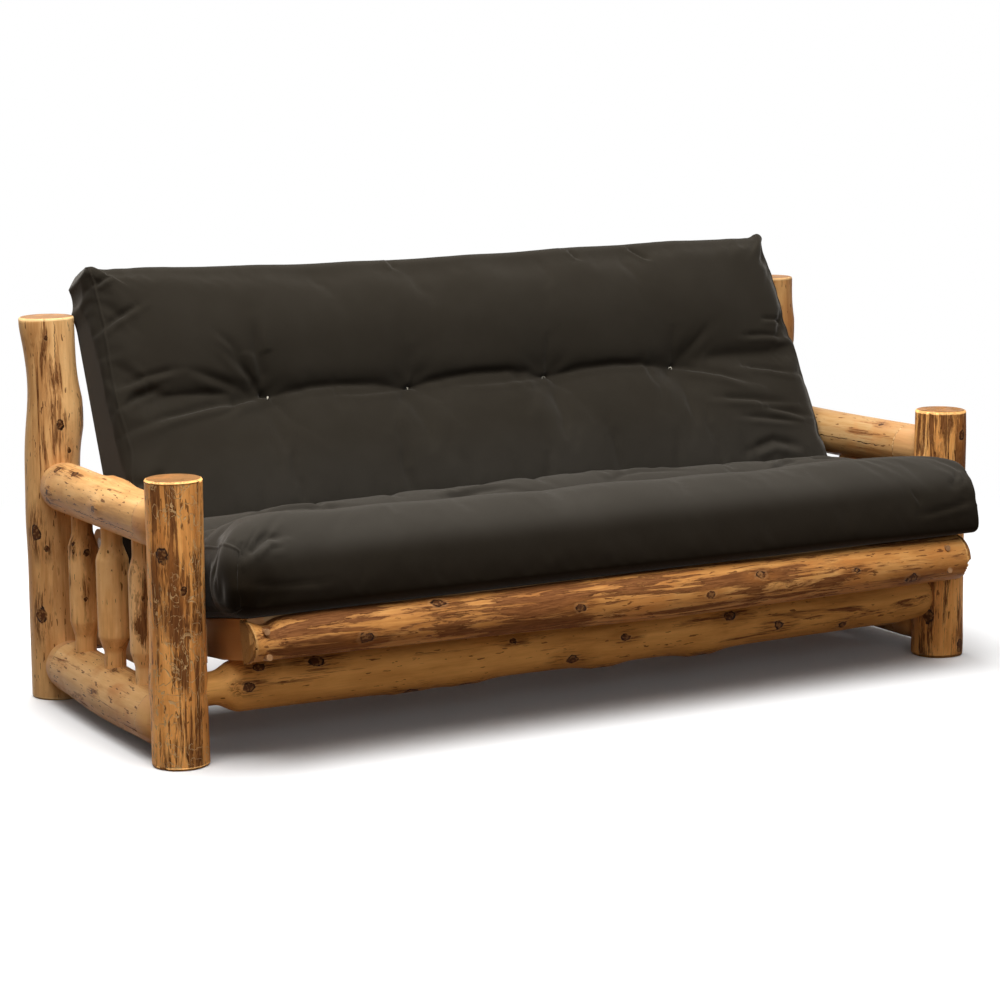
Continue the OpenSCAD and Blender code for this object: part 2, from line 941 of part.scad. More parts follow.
// How full the mattress is at a station, from a boxed end to the crowned middle
function fullness(s) = end_fullness + (1 - end_fullness) * sqrt(1 - pow(abs(s), end_squareness));
function half_x(s) = mattress_w / 2 * s;
function drawn(s) = mattress_draw * (1 - s * s);
function bump(d, width) = exp(-d * d / (2 * width * width));
function tufts(x, y, row) = tuft_depth * bump(y - row, tuft_height)
    * max([for (k = [-1.5 : 1 : 1.5]) bump(x - k * tuft_pitch, tuft_width)]);
function crease(y, row) = tuft_depth * crease_share * bump(y - row, crease_height);

// Height of the upper face of each half, y being the distance from the fold bolts
seat_row = tuft_row - seat_far;
back_row = back_far - tuft_row;
function seat_height(x, y, s) = mattress_z + fullness(s) * (mattress_t - tufts(x, y, seat_row)
    - crease(y, seat_row) - seat_sag * bump(y - seat_row, seat_sag_length));
function back_height(x, y, s) = mattress_z + fullness(s)
    * (mattress_t + (mattress_top_t - mattress_t) * y / back_far - tufts(x, y, back_row)
    - crease(y, back_row) + back_crown * bump(y - back_row - back_crown_rise, back_crown_length));

// One outline, counted from the foot of the fold, up the bisecting plane, over the top and down
// the outer edge. It is given for a half that lies towards +Y and is mirrored for the seat.
function outline(s, far, height) =
    let (x = half_x(s), end = far - drawn(s), foot = -mattress_fold_y + fold_gap,
        lean = tan(fold_angle / 2), crown = crown_height(x, s, foot, lean, height, 3),
        first = crown * lean + fold_gap,
        last = end - side_round, peak = height(x, last, s), waist = side_round * waist_share)
    concat(
        [[foot, mattress_z], [foot, mattress_fold_z],
            [(foot + first) / 2, (mattress_fold_z + crown) / 2]],
        [for (i = [0 : top_steps]) let (y = first + (last - first) * i / top_steps)
            [y, i == 0 ? crown : height(x, y, s)]],
        [for (i = [1 : round_steps]) let (a = 90 * i / round_steps)
            [last + side_round * sin(a), peak - (peak - mattress_z) * roll_share * (1 - cos(a))]],
        [for (i = [1 : round_steps]) let (a = 90 * i / round_steps)
            [end - waist * (1 - cos(a)),
                mattress_z + (peak - mattress_z) * (1 - roll_share) * (1 - sin(a))]]);

// Height at which the upper face meets the bisecting plane, found by a few repeats
function crown_height(x, s, foot, lean, height, left_over, z = mattress_t) =
    left_over == 0 ? z : crown_height(x, s, foot, lean, height, left_over - 1, height(x, z * lean, s));

module skin(rings) {
    n = len(rings[0]);
    m = len(rings);
    points = [for (ring = rings) each ring];
    walls = [for (i = [0 : m - 2], j = [0 : n - 1]) let (k = (j + 1) % n)
        each [[i * n + j, i * n + k, (i + 1) * n + j], [i * n + k, (i + 1) * n + k, (i + 1) * n + j]]];
    first_cap = [for (j = [1 : n - 2]) [0, j + 1, j]];
    last_cap = [for (j = [1 : n - 2]) [(m - 1) * n, (m - 1) * n + j, (m - 1) * n + j + 1]];
    polyhedron(points = points, faces = concat(walls, first_cap, last_cap), convexity = 6);
}

module mattress_seat() {
    height = function(x, y, s) seat_height(x, -y, s);
    color(cover_tone)
        in_seat()
            skin([for (i = [len(stations) - 1 : -1 : 0])
                [for (p = outline(stations[i], seat_far, height)) [half_x(stations[i]), -p.x, p.y]]]);
}

module mattress_back() {
    height = function(x, y, s) back_height(x, y, s);
    color(cover_tone)
        in_back()
            skin([for (s = stations) [for (p = outline(s, back_far, height)) [half_x(s), p.x, p.y]]]);
}

front_post(left);  // front_post_left
front_post(right);  // front_post_right
rear_post(left);  // rear_post_left
rear_post(right);  // rear_post_right
arm_rail(left, upper_rail_z, upper_r);  // upper_arm_rail_left
arm_rail(right, upper_rail_z, upper_r);  // upper_arm_rail_right
arm_rail(left, lower_rail_z, lower_r);  // lower_arm_rail_left
arm_rail(right, lower_rail_z, lower_r);  // lower_arm_rail_right
spindle(left, 1);  // left_spindle_front
spindle(left, 2);  // left_spindle_middle
spindle(left, 3);  // left_spindle_rear
spindle(right, 1);  // right_spindle_front
spindle(right, 2);  // right_spindle_middle
spindle(right, 3);  // right_spindle_rear
stretcher(front_y, stretcher_z, front_r, true);  // front_stretcher
stretcher(rear_y, rear_stretcher_z, rear_r, false);  // rear_stretcher
stretcher_joint_screws();
guide_panel(left);  // guide_panel_left
guide_panel(right);  // guide_panel_right
guide_panel_screws();
seat_side_rail(left);  // seat_side_rail_left
seat_side_rail(right);  // seat_side_rail_right
seat_front_rail();
seat_rear_rail();
seat_cross_rail(left);  // seat_cross_rail_left
seat_cross_rail(right);  // seat_cross_rail_right
seat_cleats();
seat_slat(1);  // seat_slat_1
seat_slat(2);  // seat_slat_2
seat_slat(3);  // seat_slat_3
seat_slat(4);  // seat_slat_4
seat_frame_screws();
seat_slat_screws();
front_half_log();
half_log_screws();
half_log_plugs();
fold_bolts();
fold_nuts();
fold_washers();
fold_spacers();
seat_glides();
mattress_seat();
back_side_rail(left);  // back_side_rail_left
back_side_rail(right);  // back_side_rail_right
back_bottom_rail();
back_top_rail();
back_cross_rail(left);  // back_cross_rail_left
back_cross_rail(right);  // back_cross_rail_right
back_cleats();
back_slat(1);  // back_slat_1
back_slat(2);  // back_slat_2
back_slat(3);  // back_slat_3
back_slat(4);  // back_slat_4
back_slat(5);  // back_slat_5
back_frame_screws();
back_slat_screws();
guide_pins();
pin_spacers();
back_glides();
mattress_back();
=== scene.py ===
import json
import math
from types import SimpleNamespace

import bmesh
import bpy
import numpy as np
from mathutils import Matrix, Vector, noise


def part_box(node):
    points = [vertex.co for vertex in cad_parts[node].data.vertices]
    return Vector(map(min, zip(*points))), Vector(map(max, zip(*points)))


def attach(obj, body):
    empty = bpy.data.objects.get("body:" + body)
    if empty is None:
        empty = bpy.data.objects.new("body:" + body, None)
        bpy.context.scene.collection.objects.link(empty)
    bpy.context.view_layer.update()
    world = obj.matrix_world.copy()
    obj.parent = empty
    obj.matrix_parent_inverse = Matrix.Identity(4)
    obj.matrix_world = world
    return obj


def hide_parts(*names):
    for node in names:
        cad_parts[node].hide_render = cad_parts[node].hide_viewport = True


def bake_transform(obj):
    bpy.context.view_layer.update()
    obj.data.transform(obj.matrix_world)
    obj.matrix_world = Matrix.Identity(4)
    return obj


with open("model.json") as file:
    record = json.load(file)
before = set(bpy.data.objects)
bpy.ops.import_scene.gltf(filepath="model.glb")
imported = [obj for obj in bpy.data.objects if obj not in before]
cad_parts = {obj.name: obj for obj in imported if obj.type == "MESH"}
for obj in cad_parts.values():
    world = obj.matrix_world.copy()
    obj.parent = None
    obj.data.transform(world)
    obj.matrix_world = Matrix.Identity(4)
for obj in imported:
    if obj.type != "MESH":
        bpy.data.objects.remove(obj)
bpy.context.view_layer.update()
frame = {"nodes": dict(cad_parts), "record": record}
nodes = frame["nodes"]
scene = bpy.context.scene
print("frame loaded:", len(nodes), "nodes")


# Shader maths: a wired value, so that masks are written as expressions

class Wired:
    def __init__(self, finish, socket):
        self.finish = finish
        self.socket = socket

    def maths(self, operation, *values):
        return self.finish.node("Math", {"operation": operation}, dict(enumerate(values)))

    def ease(self, low, high):  # 0 below low, 1 above high, smooth between
        return self.finish.node("MapRange", {"interpolation_type": "SMOOTHSTEP"},
                                {"Value": self, "From Min": low, "From Max": high})

    def fade(self, low, high):
        return 1 - self.ease(low, high)

    def between(self, *edges):
        return self.ease(*edges[:2]) * self.fade(*edges[2:])


def operator(operation, flipped=False):
    def run(self, *others):
        values = (*others, self) if flipped else (self, *others)
        return self.maths(operation, *values)
    return run


for name, operation in (("add", "ADD"), ("sub", "SUBTRACT"), ("mul", "MULTIPLY"), ("truediv", "DIVIDE")):
    setattr(Wired, f"__{name}__", operator(operation))
    setattr(Wired, f"__r{name}__", operator(operation, flipped=True))
for name, operation in (("__abs__", "ABSOLUTE"), ("least", "MINIMUM"), ("most", "MAXIMUM"), ("wave", "SINE")):
    setattr(Wired, name, operator(operation))


class Finish:
    def __init__(self, name, roughness=0.5):
        self.material = bpy.data.materials.new(name)
        self.material.use_nodes = True
        self.tree = self.material.node_tree
        self.shader = self.tree.nodes["Principled BSDF"]
        self.level("Roughness", roughness)
        self.place = self.node("TexCoord", output="Object")

    def level(self, name, value):
        self.shader.inputs[name].default_value = value

    def join(self, value, socket):
        if isinstance(value, Wired):
            self.tree.links.new(value.socket, socket)
        else:
            socket.default_value = value

    def node(self, kind, settings=None, sockets=None, output=0):
        made = self.tree.nodes.new("ShaderNode" + kind)
        for name, value in (settings or {}).items():
            setattr(made, name, value)
        for name, value in (sockets or {}).items():
            self.join(value, made.inputs[name])
        return Wired(self, made.outputs[output])

    def ramp(self, share, *stops):
        made = self.node("ValToRGB", None, {"Fac": share})
        elements = made.socket.node.color_ramp.elements
        while len(elements) < len(stops):
            elements.new(1)
        for element, (place, colour) in zip(elements, stops):
            element.position = place
            element.color = (*colour, 1)
        return made

    def mapped(self, vector, stretch=(1, 1, 1), turn=(0, 0, 0), move=(0, 0, 0)):
        return self.node("Mapping", None,
                         {"Vector": vector, "Location": move, "Rotation": turn, "Scale": stretch})

    def noise(self, vector, scale, detail=3, rough=0.5, distort=0):
        return self.node("TexNoise", None,
                         {"Vector": vector, "Scale": scale, "Detail": detail, "Roughness": rough,
                          "Distortion": distort})

    def waves(self, vector, scale, distort, detail, detailScale):
        return self.node("TexWave", {"wave_type": "BANDS", "bands_direction": "DIAGONAL"},
                         {"Vector": vector, "Scale": scale, "Distortion": distort, "Detail": detail,
                          "Detail Scale": detailScale})

    def vector(self, operation, *values, output=0):
        return self.node("VectorMath", {"operation": operation}, dict(enumerate(values)), output)

    def measure(self, operation, *values):  # vector maths that gives a number
        return self.vector(operation, *values, output="Value")

    def split(self, vector, axis):
        return self.node("SeparateXYZ", None, {"Vector": vector}, output=axis)

    def blend(self, share, *colours):
        first, second = ((*colour, 1) if isinstance(colour, tuple) else colour for colour in colours)
        return self.node("Mix", {"data_type": "RGBA"}, {0: share, 6: first, 7: second}, 2)

    def paint(self, share, tone):
        self.colour = self.blend(share, self.colour, tone)

    def bump(self, height, depth, strength):
        return self.node("Bump", None, {"Height": height, "Distance": depth, "Strength": strength})

    def dress(self, roughness, normal):
        for name, value in (("Base Color", self.colour), ("Roughness", roughness), ("Normal", normal)):
            self.join(value, self.shader.inputs[name])
        return self.material


def addObject(name, data):
    made = bpy.data.objects.new(name, data)
    scene.collection.objects.link(made)
    return made


def addPiece(name, mesh, material=None):
    data = bpy.data.meshes.new(name)
    mesh.to_mesh(data)
    mesh.free()
    piece = addObject(name, data)
    if material:
        cover(piece, material)
    return piece


def evaluated(piece):
    return piece.evaluated_get(bpy.context.evaluated_depsgraph_get())


def cover(piece, material):
    piece.data.materials.clear()
    piece.data.materials.append(material)


def bell(distance, width):
    return math.exp(-0.5 * (distance / width) ** 2)


def bells(values, width):
    return np.exp(-0.5 * (values / width) ** 2)


def eased(low, high, values):
    share = np.clip((values - low) / (high - low), 0, 1)
    return share * share * (3 - 2 * share)


def along(k, share, across=1):  # a stretch for axis k
    return tuple(share if i == k else across for i in range(3))


# Wood of the peeled logs. Every log has its own finish, with its own knots, bark and grain.

logTones = dict(
    pale=dict(deep=(0.42, 0.185, 0.058), middle=(0.68, 0.375, 0.14), light=(0.8, 0.51, 0.235)),
    honey=dict(deep=(0.54, 0.27, 0.095), middle=(0.8, 0.48, 0.2), light=(0.88, 0.6, 0.29)),
    amber=dict(deep=(0.38, 0.145, 0.036), middle=(0.62, 0.285, 0.08), light=(0.78, 0.43, 0.15)),
    shade=dict(deep=(0.32, 0.14, 0.034), middle=(0.52, 0.255, 0.07), light=(0.66, 0.35, 0.105)),
    bark=(0.125, 0.042, 0.013),
    tan=(0.36, 0.15, 0.046),
    knot=(0.085, 0.03, 0.01),
    knotHeart=(0.25, 0.115, 0.04),
    knotRing=(0.022, 0.01, 0.006),
    resin=(0.7, 0.45, 0.21),
    gallery=(0.7, 0.44, 0.2),
    crack=(0.06, 0.022, 0.009),
    taper=(0.62, 0.3, 0.125),
    warm=(0.5, 0.175, 0.04),
    barkEdge=(0.23, 0.088, 0.028),
    endRing=(0.18, 0.073, 0.019),
    endPale=(0.3, 0.138, 0.04),
)

knotWarp, logShine = 0.01, 0.07


def logWood(name, spec, log):
    look = Finish(name + " wood", 0.42)
    # the tones are scaled by the log's gain: partly the log's own lighter or darker wood, partly painted
    # light and shade that evens out how the lamps reach it
    tones = {part: tuple(value * spec.gain for value in colour)
             for part, colour in logTones[spec.tone].items()}
    seed = spec.seed
    k = log.k
    place = look.mapped(look.place, move=(seed * 1.37, seed * 0.71, seed * 2.13))
    grainPlace = look.mapped(place, stretch=along(k, 0.07))
    dashPlace = look.mapped(place, stretch=along(k, 0.2))
    level = look.split(look.place, k)

    def towards(way, where=look.place):  # distance from the log's middle line
        return look.measure("DOT_PRODUCT", where, way) - way.dot(log.middle)

    broad = look.noise(grainPlace, 9, 3, 0.55, 0.4)
    streak = look.noise(grainPlace, 62, 4, 0.62)
    fine = look.noise(grainPlace, 310, 3, 0.6)
    mottle = look.noise(dashPlace, 30, 4, 0.62, 0.5)
    look.colour = look.ramp(broad * 0.4 + streak * 0.26 + mottle * 0.26 + fine * 0.09,
                            (0.4, tones["deep"]), (0.51, tones["middle"]), (0.63, tones["light"]))

    # Warm blotches where the inner bark was just scraped off
    warmth = look.noise(place, 7, 3, 0.6, 0.6).ease(0.48, 0.68)
    look.paint(warmth * spec.warm, logTones["warm"])

    # Ragged strips of inner bark that was left on, tan at their edges, and short dark flecks
    if spec.patches:
        patch = 0
        for low, high, share in spec.patches:
            zone = level.between(low - 0.06, low + 0.06, high - 0.06, high + 0.06) * share
            patch = zone if patch == 0 else patch.most(zone)
    else:
        patch = look.noise(place, 5.5, 2).ease(0.42, 0.62) * spec.bark
    if spec.barkFaces is not None:
        patch = patch * (towards(log.around(spec.barkFaces)) / log.radius).ease(0.2, 0.8)
    strips = look.noise(grainPlace, spec.stripScale, 6, 0.72, 0.7)
    ragged = strips + (fine - 0.5) * 0.14 + (mottle - 0.5) * 0.26
    over = ragged + patch * 0.15 - (0.665 - 0.055 * spec.bark)
    look.paint(over.ease(-0.05, -0.022) * 0.62, logTones["tan"])
    barkHeld = over.ease(0, 0.022)
    flecks = look.noise(dashPlace, 150, 2)
    fleckLevel = 0.69 - 0.06 * spec.flecks
    flecked = flecks.ease(fleckLevel, fleckLevel + 0.025)

    # Thin wandering tracks that beetles ate under the bark
    wander = look.noise(look.mapped(place, stretch=along(k, 0.6)), 24, 3, 0.55, 1.6)
    track = abs(wander - 0.5).fade(0.007, 0.017)
    track = track * look.noise(place, 9, 2).ease(0.4, 0.48) * spec.galleries

    barkTone = look.blend(fine.ease(0.4, 0.62), logTones["bark"], logTones["barkEdge"])
    look.paint(barkHeld * 0.92, barkTone)
    look.paint(flecked * 0.85, logTones["bark"])
    look.paint(track, logTones["gallery"])
    height = barkHeld * 0.6 + streak * 0.28 + fine * 0.14 - track * 0.7

    # Knots: an uneven dark eye with a broken ring, and dark flecks drawn out along the grain round it
    stretch, longer = Vector(along(k, 0.72)), Vector(along(k, 0.4))
    warp = look.node("TexNoise", None, {"Vector": place, "Scale": 95, "Detail": 3}, "Color")
    bent = look.vector("MULTIPLY_ADD", warp, (knotWarp,) * 3, look.place)
    knotPlace, haloPlace = look.vector("MULTIPLY", bent, stretch), look.vector("MULTIPLY", bent, longer)
    nearest = halo = None
    for knot in log.knots:
        middle = knot["at"] + Vector((knotWarp / 2,) * 3)
        distance = look.measure("DISTANCE", knotPlace, middle * stretch) / knot["r"]
        reach = look.measure("DISTANCE", haloPlace, middle * longer) / knot["r"]
        nearest = distance if nearest is None else nearest.least(distance)
        halo = reach if halo is None else halo.least(reach)
    if nearest is not None:
        uneven = look.noise(place, 62, 3, 0.6)
        nearest = nearest + (uneven - 0.5) * 0.9
        shade = halo.fade(0.8, 3)
        look.paint(shade * 0.55, tones["deep"])
        dark = (streak * 0.6 + fine * 0.6).ease(0.59, 0.67)
        look.paint(shade * dark * 0.95, logTones["bark"])
        # A pale rim round each eye: partly resin, partly a painted highlight on the knot's raised bump
        rim = nearest.fade(1.22, 1.55) * nearest.ease(0.98, 1.1)
        look.paint(rim * spec.resin, logTones["resin"])
        heart = nearest.fade(0.9, 1.02)
        grains = look.noise(place, 120, 2).ease(0.46, 0.6)
        look.paint(heart, look.blend(grains, logTones["knot"], logTones["knotHeart"]))
        broken = look.noise(place, 48, 2).ease(0.42, 0.56)
        ring = nearest.fade(0.94, 1.06) * nearest.ease(0.66, 0.86) * broken
        look.paint(ring, logTones["knotRing"])
        height = height - ring * 0.7 + heart * 0.35

    # Drying cracks: thin, broken dark lines along the log
    for crack in spec.cracks:
        side = towards(log.around(crack["angle"] + 90), bent) - 0.004
        facing = towards(log.around(crack["angle"]))
        drift = look.noise(grainPlace, 14, 2) * 0.03 - 0.015
        low, high = crack["span"]
        line = abs(side + drift).fade(crack["width"] * 0.3, crack["width"])
        line = line * facing.ease(0, 0.01) * level.ease(low, low + 0.03) * level.fade(high - 0.03, high)
        line = line * mottle.ease(0.38, 0.5)
        look.paint(line, logTones["crack"])
        height = height - line * 1.2

    # Cut tapers at the ends, smooth and warm, with a dotted ring scribed where each begins
    for low, high in log.tapers:
        inside = level.between(low - 0.002, low, high, high + 0.002)
        smooth = look.noise(grainPlace, 30)
        cutTone = look.blend(smooth.ease(0.35, 0.65), logTones["taper"], tones["middle"])
        look.paint(inside * 0.85, cutTone)
        scribe = low if low > log.centreAlong else high
        dots = look.noise(place, 230, 1).ease(0.42, 0.52)
        mark = abs(level - scribe + look.noise(place, 20, 1) * 0.01 - 0.005).fade(0.001, 0.0026)
        look.paint(mark * dots * 0.55, tones["deep"])
        look.paint(mark * (1 - dots) * 0.8, logTones["resin"])
        height = height - mark * dots * 0.6

    # Sawn ends: growth rings round the pith and a paler chamfer
    across = Vector(along(k, 0))
    for cut, way in log.sawn:
        rise = (level - cut) * way
        end = rise.ease(-0.0012, -0.0004)
        chamfer = rise.ease(-0.0075, -0.006) * (1 - end)
        pith = (log.middle + Vector((0.016, 0.006, 0.006))) * across
        spread = look.measure("DISTANCE", look.vector("MULTIPLY", bent, across), pith)
        rings = ((spread + look.noise(place, 16, 2) * 0.006) * 2 * math.pi / 0.0032).wave() * 0.5 + 0.5
        endTone = look.blend(rings * 0.6, logTones["endPale"], logTones["endRing"])
        endTone = look.blend(look.noise(place, 30).ease(0.45, 0.7) * 0.4, endTone, tones["deep"])
        look.paint(end, endTone)
        look.paint(chamfer * 0.6, tones["light"])

    shine = 0.36 + streak * 0.16 + barkHeld * 0.22
    look.level("Specular IOR Level", logShine)
    return look.dress(shine, look.bump(height, 0.0026, 0.85))


# Shape of a peeled log: a blank cylinder whose rings are scaled to a profile, with knots and flats

plainLog = dict(
    gain=1, bark=0.3, warm=0.35, flecks=0.5, galleries=0, resin=0.1, stripScale=26,
    patches=[], barkFaces=None, knots=[], cracks=[], swells=[], tapers=[], sawn=False,
    r=None, end=0.74, span=None, middle=None, rings=150, sides=84, rough=0.003,
    profile=None, limit=None, after=None, body="frame", slot=None,
)


def logBlank(length, rings, sides):
    mesh = bmesh.new()
    bmesh.ops.create_cone(mesh, cap_ends=True, segments=sides, radius1=1, radius2=1, depth=length)
    upright = [edge for edge in mesh.edges
               if abs(edge.verts[0].co.z - edge.verts[1].co.z) > length / 2]
    bmesh.ops.subdivide_edges(mesh, edges=upright, cuts=rings, use_grid_fill=True)
    return mesh


def logSpace(name, spec):
    low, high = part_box(name)
    k = "XYZ".index(spec.axis)
    middle = spec.middle or (low + high) / 2
    others = [i for i in range(3) if i != k]
    radius = max(high[i] - low[i] for i in others) / 2
    start, end = spec.span or (low[k], high[k])

    def around(degrees):
        turned = Vector((0, 0, 0))
        turned[others[0]] = math.cos(math.radians(degrees))
        turned[others[1]] = math.sin(math.radians(degrees))
        return turned

    return SimpleNamespace(k=k, middle=middle, radius=radius, start=start, end=end, around=around,
                           centreAlong=middle[k], others=others)


def held(share):
    return min(1, max(0, share))


def roundedTaper(share):
    return math.sqrt(max(0, 1 - (1 - held(share)) ** 2))


def hollowTaper(share):
    return (1 - math.cos(math.pi * held(share))) / 2


def narrowed(neck, share):
    return neck + (1 - neck) * share


def makeLog(name, spec):
    spec = SimpleNamespace(**{**plainLog, **spec})
    log = logSpace(name, spec)
    k = log.k
    length = log.end - log.start
    radius = spec.r or log.radius
    log.endShare = spec.end
    drift = Vector((spec.seed * 3.1, spec.seed * 1.7, spec.seed * 5.3))
    log.knots = []
    for angle, *measures in spec.knots:
        height, size, proud = (measure / 1000 for measure in measures)
        at = log.middle + log.around(angle) * (radius + proud * 0.6)
        at[k] = height
        log.knots.append(dict(at=at, r=size, angle=math.radians(angle), height=height, proud=proud))
    mesh = logBlank(length, spec.rings, spec.sides)
    for vertex in mesh.verts:
        run = log.start + vertex.co.z + length / 2
        angle = math.atan2(vertex.co.y, vertex.co.x)
        share = spec.profile(log, radius, run) if spec.profile else 1
        size = radius * share
        way = Vector((math.cos(angle), math.sin(angle), 0))
        spot = Vector((way.x * radius * 9, way.y * radius * 9, run * 2.2)) + drift
        free = min(1, share * share)
        size += spec.rough * noise.noise(spot) * free * 1.6 - 0.0012 * free
        size += 0.0007 * noise.noise(Vector((way.x * 5, way.y * 5, run * 3.5)) + drift * 2) * free
        for knot in log.knots:
            turn = math.remainder(angle - knot["angle"], 2 * math.pi) * radius
            gap = math.hypot(turn, (run - knot["height"]) * 0.62)
            reach = knot["r"] * 1.9
            if gap < 4 * reach:
                lift = knot["proud"] * 1.35 * bell(gap, reach)
                size += min(lift, knot["proud"])
        for angleMid, *measures in spec.swells:
            middle, wide, long, rise = (measure / 1000 for measure in measures)
            turn = math.remainder(angle - math.radians(angleMid), 2 * math.pi) * radius
            size += rise * bell(turn, wide) * bell(run - middle, long)
        if spec.limit:
            size = spec.limit(log, angle, run, size)
        placed = Vector((run, run, run))
        for i, part in zip(log.others, way):
            placed[i] = log.middle[i] + part * size
        vertex.co = spec.after(placed) if spec.after else placed
    log.sawn = []
    if spec.sawn:
        log.sawn = [(log.end, 1), (log.start, -1)]
        rims = [edge for edge in mesh.edges if any(len(face.verts) > 8 for face in edge.link_faces)]
        bmesh.ops.bevel(mesh, geom=rims, offset=0.0055, segments=2, profile=0.5, affect="EDGES", material=-1)
    log.tapers = spec.tapers
    bmesh.ops.recalc_face_normals(mesh, faces=mesh.faces)
    piece = addPiece(name + "Log", mesh, logWood(name, spec, log))
    for face in piece.data.polygons:
        face.use_smooth = len(face.vertices) < 8
    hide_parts(name)
    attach(piece, spec.body)


frontLow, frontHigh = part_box("front_post_left")
rearLow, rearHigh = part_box("rear_post_left")
frontPostY = (frontLow.y + frontHigh.y) / 2
rearPostY = (rearLow.y + rearHigh.y) / 2
frontR = (frontHigh.x - frontLow.x) / 2
rearR = (rearHigh.x - rearLow.x) / 2
armX = -(frontLow.x + frontHigh.x) / 2

railShape = dict(taper=0.052, inside=0.7)
stretcherShape = dict(taper=0.058, neck=0.64, inside=0.7, hollowFrom=0.03)
spindleShape = dict(neck=0.05, body=0.176, shoulder=0.034)


def railProfile(log, radius, run):
    low = frontPostY + frontR * railShape["inside"]
    high = rearPostY - rearR * railShape["inside"]
    return narrowed(log.endShare, roundedTaper(min(run - low, high - run) / railShape["taper"]))


def frontStretcherProfile(log, radius, run):
    low = -armX + frontR * stretcherShape["inside"]
    high = armX - frontR * stretcherShape["inside"]
    if run < 0:
        share = hollowTaper((run - low - stretcherShape["hollowFrom"]) / stretcherShape["taper"])
    else:
        share = roundedTaper((high - run) / stretcherShape["taper"])
    return narrowed(stretcherShape["neck"], share)


def rearStretcherProfile(log, radius, run):
    reach = armX - rearR * stretcherShape["inside"]
    return narrowed(stretcherShape["neck"], roundedTaper((reach - abs(run)) / stretcherShape["taper"]))


def spindleProfile(log, radius, run):
    away = abs(run - log.centreAlong) - spindleShape["body"] / 2
    return narrowed(spindleShape["neck"] / 2 / radius, 1 - held(away / spindleShape["shoulder"]))


def flatTop(log, angle, run, size):  # the decks run on the stretchers, so their tops never swell
    upward = math.sin(angle)
    if upward <= 0.2:
        return size
    return min(size, log.radius - 0.0006)


def railTapers(front, rear):
    return [(frontPostY, frontPostY + front), (rearPostY - rear, rearPostY)]


post = dict(axis="Z", sawn=True)
rail = dict(axis="Y", slot="pale_log", profile=railProfile,
        span=(frontPostY + frontR * 0.5, rearPostY - rearR * 0.5))
